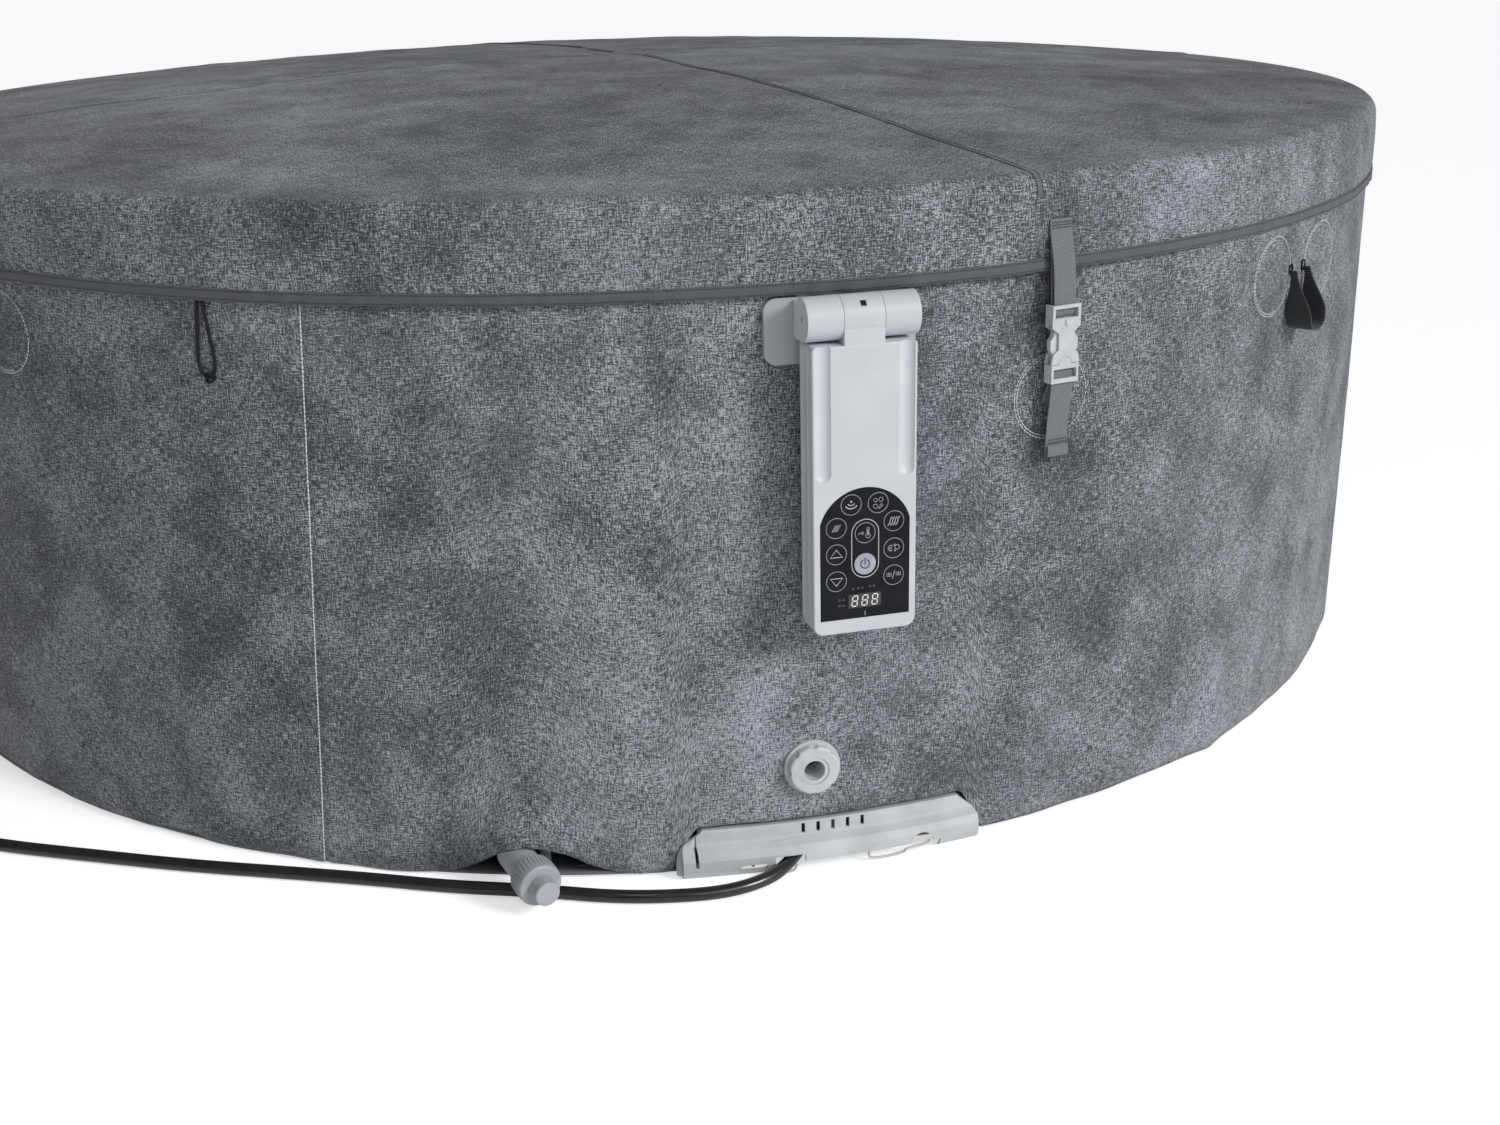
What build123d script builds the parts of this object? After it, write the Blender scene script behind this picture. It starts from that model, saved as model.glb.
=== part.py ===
from build123d import *
import math
import os

# Round inflatable spa closed by its fabric cover. Millimetres, +Z up.
# Origin: centre of the base, on the ground. The front of the spa faces -Y.
# Pieces on the wall are drawn at the front, in (x, w, z): x along the wall, w out from
# the face of the wrap, z up. Then they are turned to their azimuth, from -Y towards +X.

# ---- Tub ----
WRAP_R = 1020
WRAP_T = 2
WALL_W = 200
TUB_H = 688.5
LAYER_GAP = 0.5
RIM_CORNER = 40
FOOT_CORNER = 10
SKIN = 2
FLOOR_T = 4
FLOOR_INSET = 3
WRAP_LIFT = 2
WRAP_REACH = 170
BEAMS = 24
BEAM_T = 1
BEAM_GAP = 0.3
DUCT_W = 22
DUCT_T = 3
DUCT_CORNER = 5
JET_R = 1.5
JET_TURN = 7.5

# ---- Lid ----
LID_GAP = 4.5
LID_T = 2
LID_DROP = 86
LID_RISE = 56
LINING_T = 1
HEM_H = 12
HEM_T = 0.5
BINDING_GAP = 0.1
LID_BLADDER_INSET = 24
LID_BLADDER_RISE = 50
FILLER_R = 12

# ---- Wall machine ----
MACHINE_AZ = 10.7
BAY_LEFT = 172
BAY_RIGHT = 164
BAY_DEPTH = 185
BAY_H = 300
BASE_LEFT = 165
BASE_RIGHT = 157
BASE_H = 51
BASE_T = 3
TRAY_T = 6
VENTS = 5
VENT_PITCH = 16
VENT_W = 4
VENT_LOW, VENT_HIGH = 38.2, 49.2
RIBS = (-140, -90, 5, 60, 125)
CASE_T = 3
CASE_SHIN = -42
PIPE_R = 16
PIPE_T = 2.5
PIPE_PROUD = 12
AIR_PIPE_R = 8
FIT = 0.5
INLET_X, INLET_Z = 70, 150
RETURN_X, RETURN_Z = -100, 235
AIR_X, AIR_Z = -30, 24
PIPE_WAYS = [
    (INLET_X, INLET_Z, PIPE_R), (RETURN_X, RETURN_Z, PIPE_R), (AIR_X, AIR_Z, AIR_PIPE_R),
]
PUMP_R = 42
BLOWER_R = 50
HEATER_R = 24
CARTRIDGE_R = 50
CARTRIDGE_L = 90
PLEATS = 36

# ---- Air port and drain ----
PORT_AZ = 9.2
PORT_Z = 113
PORT_FLANGE_R = 29.5
PORT_BORE_R = 11
PORT_TUBE_R = 15
PORT_PROUD = 14
SCALLOPS = 8
DRAIN_AZ = -8.1
DRAIN_Z = 36
DRAIN_TURN = 34
DRAIN_DIP = 4
DRAIN_NECK_R = 17.5
DRAIN_BORE_R = 12
DRAIN_CAP_R = 22.8
DRAIN_KNOB_R = 13.25
DRAIN_NECK_L = 56
DRAIN_CAP_BACK = 44
DRAIN_CAP_FRONT = 68
DRAIN_KNOB_FRONT = 85
DRAIN_STUB_R = 14
VALVE_AZ = 187.5
VALVE_R = 20

# ---- Controller ----
CONTROL_AZ = 11.43
CONTROL_W = 103.5
CONTROL_BOTTOM = 277
CONTROL_TOP = 562
CONTROL_BACK = 12
CONTROL_FRONT = 52
CONTROL_SPLIT = 27
SHELL_T = 2.5
BARREL_R = 21
BARREL_W = 32
BARREL_Z = 585
BARREL_SPAN = 110
TONGUE_W = 39.4
HINGE_GAP = 0.5
PIN_R = 3
PIN_FIT = 0.06
COVE_R = 10
COVE_X = 41.5
COVE_DEPTH = 4
COVE_BOTTOM = 440
FILM_W = 90
FILM_BOTTOM = 292
FILM_SHOULDER = 390
FILM_TOP = 424
FILM_T = 0.6
KEY_R = 10.8
KEY_FIT = 0.3
KEY_STEM_R = 4
KEY_TRAVEL = 0.4
KEYS = {
    "wireless_key": (-14, 408),
    "bubble_key": (13, 407.5),
    "filter_key": (-29, 386),
    "up_key": (-29, 359.5),
    "down_key": (-29, 332),
    "heat_key": (29, 387.5),
    "ozone_key": (29, 360),
    "jet_key": (29, 332.4),
    "timer_key": (0, 378.6),
    "power_key": (0, 347),
}
DISPLAY_W = 34
DISPLAY_H = 15
DISPLAY_Z = 309.5
PLATE_LEFT = 83
PLATE_RIGHT = 67
PLATE_BOTTOM = 537
PLATE_T = 5.6
HOOK_GAP = 0.4
HOOK_T = 2.5
HOOK_REACH = 140

# ---- Straps and buckles ----
STATION_AZ = (24, 114, 204, 294)
WEBBING_W = 26
WEBBING_T = 1.4
BUCKLE_W = 34
BUCKLE_BACK = 11
BUCKLE_FRONT = 23
BUCKLE_PLATE = 2.5
BUCKLE_WAIST = 16.4
BOSS_R = 7
PRONG_W = 6
SPLIT_Z = 512
ARM_GAP = 0.5
ARM_W = 4
ARM_PIVOT_X = 9.7
ARM_PIVOT_Z = 509.5
ARM_ROOT_R = 2.4
ARM_FIT = 0.3
PATCH_R = 47.5
PATCH_Z = 475
PATCH_T = 0.8
HANDLE_AZ = (47.1, 137.1, 227.1, 317.1)
HANDLE_PATCH_TURN = 3.5
HANDLE_PATCH_Z = 548
HANDLE_W = 30
HANDLE_T = 3
LOOP_AZ = -23.6
LOOP_D = 3.5

# ---- Mains cord ----
CORD_R = 7
CORD_ROUTE = [
    (150, -1001, 15), (133, -1034, 9), (92, -1062, 7), (42, -1073, 7), (-38, -1069, 7),
    (-119, -1047, 7), (-212, -1029, 7), (-286, -1007, 7), (-371, -985, 7), (-493, -955, 7),
    (-600, -922, 7), (-706, -889, 7), (-790, -850, 7), (-872, -815, 7),
]
GLAND_L = 16
GLAND_R = 9.5
COIL_X, COIL_Y = -880, -905
COIL_MEAN_R = 77
COIL_WIDE = 3
COIL_HIGH = 3
PLUG_TURN = 60
PLUG_R = 18.5
PLUG_L = 36
PLUG_NECK_L = 24
PIN_PITCH = 19
PLUG_PIN_R = 2.4
PLUG_PIN_L = 19

# ---- Worked out from the sizes above ----
BLADDER_R = WRAP_R - WRAP_T - LAYER_GAP
BLADDER_TOP = TUB_H - WRAP_T - LAYER_GAP
BLADDER_FOOT = FLOOR_T + 0.2
INNER_R = BLADDER_R - WALL_W
INNER_W = INNER_R - WRAP_R
LID_IN_R = WRAP_R + LID_GAP
LID_R = LID_IN_R + LID_T
HEM_Z = TUB_H - LID_DROP
LINING_Z = TUB_H + LID_GAP - 1
LID_EDGE_Z = LINING_Z + LINING_T + 1
CONTROL_HALF = CONTROL_W / 2
TONGUE_HALF = TONGUE_W / 2
CHEEK = TONGUE_HALF + HINGE_GAP
BUCKLE_HALF = BUCKLE_W / 2
WEBBING_EDGE = WEBBING_W / 2 + 0.8
BASE = (Align.CENTER, Align.CENTER, Align.MIN)


# ---- Shared shapes ----
def at(az, shape):
    return Rot(0, 0, az) * shape


def turned(face, span=360):
    return revolve(Plane.XZ * face, Axis.Z, span)


def tube(r_out, r_in, z0, z1):
    body = Cylinder(r_out, z1 - z0, align=BASE) - Cylinder(r_in, z1 - z0, align=BASE)
    return Pos(0, 0, z0) * body


def disc(r, z0, z1):
    return Pos(0, 0, z0) * Cylinder(r, z1 - z0, align=BASE)


def slab(x0, x1, w0, w1, z0, z1):
    middle = Pos((x0 + x1) / 2, -(WRAP_R + (w0 + w1) / 2), (z0 + z1) / 2)
    return middle * Box(x1 - x0, w1 - w0, z1 - z0)


def peg(x, z, r, w0, w1):
    return Pos(x, -(WRAP_R + w0), z) * Rot(90, 0, 0) * Cylinder(r, w1 - w0, align=BASE)


def drum(x0, x1, w, z, r):
    return Pos((x0 + x1) / 2, -(WRAP_R + w), z) * Rot(0, 90, 0) * Cylinder(r, x1 - x0)


def panel(face, w0, w1):
    front = Plane(origin=(0, -(WRAP_R + w0), 0), x_dir=(1, 0, 0), z_dir=(0, -1, 0))
    return extrude(front * face, w1 - w0)


def block_face(x0, x1, z0, z1):
    return Pos((x0 + x1) / 2, (z0 + z1) / 2) * Rectangle(x1 - x0, z1 - z0)


def outline(points):
    return make_face(Polyline(*points, close=True))


def rounded(face, r, top=True, bottom=True):
    rows = face.vertices().group_by(Axis.Y)
    corners = (rows[-1] if top else []) + (rows[0] if bottom else [])
    return fillet(corners, r)


def strap(points, bend, width):
    path = FilletPolyline(*[(-(WRAP_R + w), z) for w, z in points], radius=bend)
    ribbon = trace(path, WEBBING_T)
    return extrude(Plane.YZ * ribbon, width / 2, both=True)


def pipe(points, bend, r_out, r_in):
    route = FilletPolyline(*[(x, -(WRAP_R + w), z) for x, w, z in points], radius=bend)
    ends = Plane(origin=route @ 0, z_dir=route % 0)
    return sweep(ends * (Circle(r_out) - Circle(r_in)), path=route)


def group(shapes):
    return Compound(children=[s for shape in shapes for s in shape.solids()])


# ---- Tub wall ----
def rim_face(off, z0, r_end):
    face = block_face(r_end, BLADDER_R + off, z0, BLADDER_TOP + off)
    corner = face.vertices().group_by(Axis.X)[-1].sort_by(Axis.Y)[-1]
    return fillet(corner, RIM_CORNER + off)


def rim_layer(off, thick, z0, r_end):
    return turned(rim_face(off + thick, z0, r_end) - rim_face(off, z0 - 1, r_end - 1))


def wall_face(inset):
    low, high = BLADDER_FOOT + inset, BLADDER_TOP - inset
    face = block_face(INNER_R + inset, BLADDER_R - inset, low, high)
    face = rounded(face, RIM_CORNER - inset, bottom=False)
    return rounded(face, FOOT_CORNER - inset, top=False)


def machine_cuts(grow):
    bay = slab(-BAY_LEFT - grow, BAY_RIGHT + grow, -BAY_DEPTH - grow, WRAP_T, -FLOOR_T, BAY_H + grow)
    for x, z, r in PIPE_WAYS:
        bay += peg(x, z, r + FIT + grow, INNER_W - PIPE_PROUD, -BAY_DEPTH + 1)
    return at(MACHINE_AZ, bay)


def wall_cuts(grow):
    drain = peg(0, DRAIN_Z, DRAIN_STUB_R + FIT + grow, INNER_W - PIPE_PROUD, WRAP_T)
    return machine_cuts(grow) + at(DRAIN_AZ, drain)


def valve_place():
    return Rot(0, 0, VALVE_AZ) * Pos(0, -(INNER_R + WALL_W / 2), 0)


def tub_floor():
    return disc(WRAP_R - FLOOR_INSET, 0, FLOOR_T) - machine_cuts(0)


def wall_bladder():
    void = turned(wall_face(SKIN)) - wall_cuts(SKIN)
    valve_hole = valve_place() * disc(VALVE_R + FIT, BLADDER_TOP - 2 * SKIN, TUB_H)
    return turned(wall_face(0)) - wall_cuts(0) - void - valve_hole


def tie_beams():
    face = wall_face(SKIN + BEAM_GAP)
    web = extrude(Plane.XZ * face, BEAM_T / 2, both=True)
    cuts = wall_cuts(SKIN + BEAM_GAP)
    return group([Rot(0, 0, 360 * k / BEAMS) * web - cuts for k in range(BEAMS)])


def wrap_base_opening():
    face = block_face(-BASE_LEFT - 2, BASE_RIGHT + 2, -10, BASE_H + 1.5)
    return at(MACHINE_AZ, panel(rounded(face, 16, bottom=False), -20, 20))


def wrap_drain_opening():
    arch = outline([(-112, -5), (-70, 8), (-34, 34), (0, 55), (34, 34), (70, 8), (112, -5)])
    return at(DRAIN_AZ, panel(arch, -20, 20))


def outer_wrap():
    skin = rim_layer(LAYER_GAP, WRAP_T, WRAP_LIFT, WRAP_R - WRAP_REACH)
    skin -= wrap_base_opening()
    skin -= wrap_drain_opening()
    skin -= at(PORT_AZ, peg(0, PORT_Z, PORT_TUBE_R + FIT, -20, 20))
    return skin - valve_place() * disc(VALVE_R + FIT, BLADDER_TOP, TUB_H + SKIN)


def bubble_duct():
    high = AIR_Z + PIPE_R
    low, r = FLOOR_T + SKIN, INNER_R - SKIN
    outer = block_face(r - DUCT_W, r, low, high)
    inner = block_face(r - DUCT_W + DUCT_T, r - DUCT_T, low + DUCT_T, high - DUCT_T)
    duct = turned(rounded(outer, DUCT_CORNER) - rounded(inner, DUCT_CORNER - DUCT_T))
    duct -= at(MACHINE_AZ, peg(AIR_X, AIR_Z, AIR_PIPE_R - 2, INNER_W - 12, INNER_W))
    jet = Pos(0, -(r - DUCT_W / 2), high - DUCT_T) * Cylinder(JET_R, 2 * DUCT_T + 2)
    jets = range(round(360 / JET_TURN))
    return duct - [Rot(0, 0, JET_TURN * (k + 0.4)) * jet for k in jets]


def wall_valve():
    flange = disc(VALVE_R + 8, TUB_H + 0.1, TUB_H + 1.6)
    body = disc(VALVE_R, BLADDER_TOP - 46, TUB_H + 0.5)
    return valve_place() * (flange + body - disc(VALVE_R - 4, BLADDER_TOP - 50, TUB_H + 0.9))


def wrap_patch(z, turn):
    band = tube(WRAP_R + 0.1 + PATCH_T, WRAP_R + 0.1, z - PATCH_R, z + PATCH_R)
    return at(turn, band & peg(0, z, PATCH_R, -10, 10))


def wrap_patches():
    buckle = [wrap_patch(PATCH_Z, az) for az in STATION_AZ]
    turns = [az + side * HANDLE_PATCH_TURN for az in HANDLE_AZ for side in (-1, 1)]
    return group(buckle + [wrap_patch(HANDLE_PATCH_Z, turn) for turn in turns])


def handle_straps():
    top, low = HANDLE_PATCH_Z, HANDLE_PATCH_Z - 66
    line = FilletPolyline(
        (-18, top), (-21, low + 18), (-12, low), (12, low), (21, low + 18), (18, top), radius=8
    )
    loop = panel(trace(line, HANDLE_T), 1.2, 1.2 + HANDLE_W)
    return group([at(az, loop) for az in HANDLE_AZ])


# ---- Lid ----
def cap(r, z0, rise):
    dome = TangentArc((0, z0 + rise), (r, z0), tangent=(1, 0))
    sides = Polyline((r, z0), (0, z0), (0, z0 + rise))
    return turned(make_face([dome, sides]))


def lid_skirt():
    return tube(LID_R, LID_IN_R, HEM_Z + HEM_T + 0.3, LID_EDGE_Z)


def lid_top():
    return cap(LID_R, LID_EDGE_Z + LID_T, LID_RISE) - cap(LID_R, LID_EDGE_Z, LID_RISE)


def lid_hem():
    outer = tube(LID_R + BINDING_GAP + HEM_T, LID_IN_R - BINDING_GAP - HEM_T, HEM_Z, HEM_Z + HEM_H)
    return outer - tube(LID_R + BINDING_GAP, LID_IN_R - BINDING_GAP, HEM_Z + HEM_T, TUB_H)


def lid_bladder():
    low, r = LINING_Z + LINING_T + 0.3, LID_R - LID_BLADDER_INSET
    inner = cap(r - 40, low + SKIN, LID_BLADDER_RISE - 2 * SKIN)
    filler = Pos(0, -r / 2, 0) * disc(FILLER_R, low + LID_BLADDER_RISE / 2, low + LID_BLADDER_RISE)
    return cap(r, low, LID_BLADDER_RISE) - inner - filler


def lid_lining():
    return disc(LID_IN_R - 0.5, LINING_Z, LINING_Z + LINING_T)


# ---- Buckle stations ----
def lid_strap():
    return strap(
        [(7.3, 652), (8.4, 640), (16, 612), (19, 580), (19, 559.8), (13.9, 559.8), (13.9, 572),
         (12.6, 600), (9.4, 628)], 2.4, WEBBING_W)


def wall_strap():
    return strap(
        [(1.8, 458), (1.8, 474), (13.9, 489), (13.9, 505.4), (19, 505.4), (19, 490), (14.5, 462),
         (13.5, 440), (12.5, 420)], 2.4, WEBBING_W)


def socket_face():
    half, waist = BUCKLE_HALF, BUCKLE_WAIST / 2
    side = [(half, 571), (half, 549), (waist + 0.5, 543), (waist, 527), (half - 2, 522),
            (half, 512.4)]
    face = outline(side + [(-x, z) for x, z in reversed(side)])
    return face - Pos(0, SPLIT_Z) * Circle(BOSS_R + 0.6)


def buckle_socket():
    half, edge = BUCKLE_HALF, WEBBING_EDGE
    front = panel(socket_face(), BUCKLE_FRONT - BUCKLE_PLATE, BUCKLE_FRONT)
    back = panel(socket_face(), BUCKLE_BACK, BUCKLE_BACK + BUCKLE_PLATE)
    frame = slab(-half, half, BUCKLE_BACK, BUCKLE_FRONT, 552, 571)
    window = slab(-edge, edge, 0, BUCKLE_FRONT + 1, 558, 567.5)
    way_out = slab(-edge, edge, 0, 20.2, 558, 572)
    bar = slab(-edge - 1, edge + 1, 14.9, 18, 561.8, 565)
    return front + back + frame - window - way_out + bar


def buckle_plug():
    half, edge = BUCKLE_HALF - 0.5, WEBBING_EDGE
    base = slab(-half, half, BUCKLE_BACK, BUCKLE_FRONT, 493, SPLIT_Z - 0.3)
    base -= slab(-edge, edge, 0, BUCKLE_FRONT + 1, 497.5, 507)
    base -= slab(-edge, edge, 0, 20.2, 492, 507)
    base += slab(-edge - 1, edge + 1, 14.9, 18, 500, 503.4)
    half_moon = Pos(0, SPLIT_Z) * Circle(BOSS_R) & block_face(-half, half, SPLIT_Z - 2, 530)
    boss = panel(half_moon, 20.8, BUCKLE_FRONT)
    prong = slab(-PRONG_W / 2, PRONG_W / 2, 14.2, 19.8, 507, 545)
    for side in (-1, 1):
        x = side * ARM_PIVOT_X
        base -= peg(x, ARM_PIVOT_Z, ARM_ROOT_R + ARM_FIT, 13.8, 20.2)
        base -= slab(x - ARM_W / 2 - 0.7, x + ARM_W / 2 + 0.7, 13.8, 20.2, ARM_PIVOT_Z, SPLIT_Z)
    return base + boss + prong


def buckle_arm(side):
    inner, outer, edge = ARM_PIVOT_X - ARM_W / 2, ARM_PIVOT_X + ARM_W / 2, BUCKLE_HALF - 0.4
    points = [(inner, ARM_PIVOT_Z), (inner, 543), (inner + 2, 548), (outer, 548),
              (outer + 1.6, 540), (edge, 536), (edge, 527), (outer, 519), (outer, ARM_PIVOT_Z)]
    shank = outline([(side * x, z) for x, z in points])
    root = Pos(side * ARM_PIVOT_X, ARM_PIVOT_Z) * Circle(ARM_ROOT_R)
    clear = BUCKLE_PLATE + ARM_GAP
    return panel(shank + root, BUCKLE_BACK + clear, BUCKLE_FRONT - clear)


# ---- Draw cord loop at the lid's hem ----
def draw_cord():
    w = (LID_IN_R + LID_R) / 2 - WRAP_R
    top, low = HEM_Z - 0.2, 524
    points = [(-3, top), (-8, low + 40), (-10, low + 14), (-4, low + 3), (4, low + 3),
              (10, low + 14), (7, low + 42), (3, top)]
    loop = pipe([(x, w, z) for x, z in points], 5, LOOP_D / 2, 0.01)
    knot = Pos(1, -(WRAP_R + w), low + 3) * Rot(90, 0, 0) * Cylinder(5.5, 2 * LOOP_D)
    return at(LOOP_AZ, loop + knot)


# ---- Machine in the wall ----
def fascia_profile():
    r = WRAP_R
    outer = outline([(r - 24, 0), (r + 7, 0), (r + 13, 5), (r + 15.5, 12), (r + 15.5, 22), (r + 12, 30),
                     (r + 4, 35), (r + 3, 38), (r + 3, 49), (r + 1, BASE_H), (r - 24, BASE_H)])
    t = BASE_T
    inner = outline([(r - 30, -1), (r + 7 - t, -1), (r + 13 - t, 6), (r + 15.5 - t, 12.5),
                     (r + 15.5 - t, 21), (r + 12 - t, 27.5), (r + 4 - t, 32.5), (r + 3 - t, 37),
                     (r + 3 - t, BASE_H - t), (r - 30, BASE_H - t)])
    return outer - inner


def fascia_outline():
    ends = outline([(-BASE_LEFT, -1), (-BASE_LEFT, 34), (-BASE_LEFT + 24, BASE_H + 1),
                    (BASE_RIGHT - 22, BASE_H + 1), (BASE_RIGHT, 32), (BASE_RIGHT, -1)])
    ends = fillet([v for v in ends.vertices() if v.Y > 0], 12)
    raised = block_face(-62, 112, -2, 12)
    notch = block_face(78, 104, -2, 10) + Pos(91, 10) * Circle(13)
    cord_way = block_face(-70, -38, -2, 20)
    oval = Pos(-92, 11) * SlotOverall(28, 6)
    return ends - raised - notch - cord_way - oval


def machine_base():
    shell = at(-90 - 12, turned(fascia_profile(), 24))
    shell &= panel(fascia_outline(), -40, 40)
    shell -= slab(-72, -24, -30, 0, -1, 24)
    for k in range(VENTS):
        x = -37 + VENT_PITCH * k
        shell -= slab(x - VENT_W / 2, x + VENT_W / 2, -10, 10, VENT_LOW, VENT_HIGH)
    shell -= slab(-152.5, -149, -10, 20, 15, 46)
    tray = slab(-BASE_LEFT + 15, BASE_RIGHT - 7, -BAY_DEPTH + 7, -23, 0, TRAY_T)
    inside = disc(WRAP_R + 1, 0, BASE_H - 1)
    ribs = [slab(x - 1.5, x + 1.5, CASE_SHIN + 4, 4, TRAY_T - 2, BASE_H - 1) & inside for x in RIBS]
    return at(MACHINE_AZ, shell + tray + ribs)


def machine_case():
    z0, z1, t = TRAY_T + 0.2, BAY_H - 12, CASE_T
    sill = BASE_H + 5
    lower = slab(-150, 150, -BAY_DEPTH + 7, CASE_SHIN, z0, sill)
    upper = slab(-150, 150, -BAY_DEPTH + 7, 0, sill, z1) & disc(BLADDER_R - 1, sill, z1)
    hollow = slab(-150 + t, 150 - t, -BAY_DEPTH + 7 + t, CASE_SHIN - t, z0 - 1, sill + t)
    hollow_top = slab(-150 + t, 150 - t, -BAY_DEPTH + 7 + t, 0, sill + t, z1 - t)
    case = lower + upper - hollow - (hollow_top & disc(BLADDER_R - 1 - t, sill, z1))
    for x, z, r in PIPE_WAYS:
        case -= peg(x, z, r + FIT, -BAY_DEPTH, -BAY_DEPTH + 20)
    return at(MACHINE_AZ, case) - at(PORT_AZ, peg(0, PORT_Z, PORT_TUBE_R + FIT, -30, 10))


def circulation_pump():
    motor = drum(18, 120, -90, TRAY_T + PUMP_R + 4, PUMP_R)
    volute = drum(0, 18, -90, TRAY_T + PUMP_R + 4, PUMP_R + 2)
    return at(MACHINE_AZ, fillet(motor.edges().sort_by(Axis.X)[-1], 8) + volute)


def air_blower():
    z = 190
    body = Pos(70, -(WRAP_R - 90), z) * Cylinder(BLOWER_R, 70, align=BASE)
    return at(MACHINE_AZ, fillet(body.edges().sort_by(Axis.Z)[-1], 10))


def heater_tube():
    body = Pos(RETURN_X, -(WRAP_R - 75), 60) * Cylinder(HEATER_R, 140, align=BASE)
    return at(MACHINE_AZ, fillet(body.edges().filter_by(GeomType.CIRCLE), 6))


def water_pipes():
    r, inner = PIPE_R, PIPE_R - PIPE_T
    back = INNER_W - PIPE_PROUD
    pump_top = TRAY_T + 2 * PUMP_R + 4.2
    inlet = pipe([(INLET_X, -90, pump_top), (INLET_X, -90, INLET_Z), (INLET_X, back, INLET_Z)],
                 22, r, inner)
    link = pipe([(-0.2, -75, 40), (RETURN_X, -75, 40), (RETURN_X, -75, 59.8)], 18.5, r, inner)
    back_line = pipe([(RETURN_X, -75, 200.2), (RETURN_X, -75, RETURN_Z), (RETURN_X, back, RETURN_Z)],
                     22, r, inner)
    air = pipe([(19.8, -120, 225), (AIR_X, -120, 225), (AIR_X, -120, AIR_Z),
                (AIR_X, INNER_W - 1.8, AIR_Z)], 20, AIR_PIPE_R, AIR_PIPE_R - 2)
    return group([at(MACHINE_AZ, part) for part in (inlet, link, back_line, air)])


def filter_base():
    w = INNER_W - PIPE_PROUD - 4.2
    flange = peg(INLET_X, INLET_Z, CARTRIDGE_R - 6, w, w + 4)
    return at(MACHINE_AZ, flange - peg(INLET_X, INLET_Z, PIPE_R - 3, w - 1, w + 8))


def filter_cartridge():
    w1 = INNER_W - PIPE_PROUD - 4.5
    w0 = w1 - CARTRIDGE_L
    core = peg(INLET_X, INLET_Z, CARTRIDGE_R - 7, w0 + 6, w1 - 6)
    fold = slab(-1.5, 1.5, w0 + 6, w1 - 6, CARTRIDGE_R - 9, CARTRIDGE_R - 1)
    axis_z = Pos(INLET_X, 0, INLET_Z)
    for k in range(PLEATS):
        core += axis_z * Rot(0, 360 * k / PLEATS, 0) * fold
    ends = peg(INLET_X, INLET_Z, CARTRIDGE_R, w0, w0 + 6)
    ends += peg(INLET_X, INLET_Z, CARTRIDGE_R, w1 - 6, w1)
    grip = slab(INLET_X - 30, INLET_X + 30, w0 - 12, w0, INLET_Z - 4, INLET_Z + 4)
    bore = peg(INLET_X, INLET_Z, PIPE_R - 3, w0 + 20, w1 + 1)
    return at(MACHINE_AZ, core + ends + grip - bore)


# ---- Air port ----
def air_port():
    flange = peg(0, PORT_Z, PORT_FLANGE_R, 0.4, 4)
    body = flange + peg(0, PORT_Z, PORT_TUBE_R, -22, PORT_PROUD - 1)
    return at(PORT_AZ, body - peg(0, PORT_Z, PORT_BORE_R, -25, PORT_PROUD + 1))


def port_nut():
    ring = peg(0, PORT_Z, PORT_FLANGE_R - 3, 4.2, PORT_PROUD)
    ring = fillet(ring.faces().sort_by(Axis.Y)[0].edges(), 3)
    for k in range(SCALLOPS):
        turn = math.radians(360 * k / SCALLOPS)
        x, z = (PORT_FLANGE_R + 1) * math.cos(turn), (PORT_FLANGE_R + 1) * math.sin(turn)
        ring -= peg(x, PORT_Z + z, 6, 6.5, PORT_PROUD + 1)
    return at(PORT_AZ, ring - peg(0, PORT_Z, PORT_TUBE_R + 0.2, 0, PORT_PROUD + 1))


# ---- Drain ----
def drain_axis(shape):
    elbow = Pos(0, -(WRAP_R + 10), DRAIN_Z)
    return at(DRAIN_AZ, elbow * Rot(0, 0, DRAIN_TURN) * Rot(90 + DRAIN_DIP, 0, 0) * shape)


def drain_body():
    stub = at(DRAIN_AZ, peg(0, DRAIN_Z, DRAIN_STUB_R, INNER_W, 10))
    collar = at(DRAIN_AZ, peg(0, DRAIN_Z, DRAIN_STUB_R + 6, 1, 5))
    elbow = drain_axis(Sphere(DRAIN_NECK_R))
    neck = drain_axis(Cylinder(DRAIN_NECK_R, DRAIN_NECK_L, align=BASE))
    bore = at(DRAIN_AZ, peg(0, DRAIN_Z, DRAIN_BORE_R, INNER_W - 5, 10))
    return stub + collar + elbow + neck - bore - drain_axis(Cylinder(DRAIN_BORE_R, DRAIN_NECK_L + 4, align=BASE))


def drain_seal():
    return drain_axis(tube(DRAIN_NECK_R - 1, DRAIN_BORE_R, DRAIN_NECK_L + 0.3, DRAIN_NECK_L + 2.7))


def drain_cap():
    skirt = disc(DRAIN_CAP_R, DRAIN_CAP_BACK, DRAIN_CAP_FRONT)
    skirt = fillet(skirt.edges().sort_by(Axis.Z)[-1], 3)
    hollow = disc(DRAIN_NECK_R + 0.4, 0, DRAIN_NECK_L + 3)
    knob = disc(DRAIN_KNOB_R, DRAIN_CAP_FRONT - 2, DRAIN_KNOB_FRONT)
    knob = fillet(knob.edges().sort_by(Axis.Z)[-1], 2)
    return drain_axis(skirt + knob - hollow)


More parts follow.
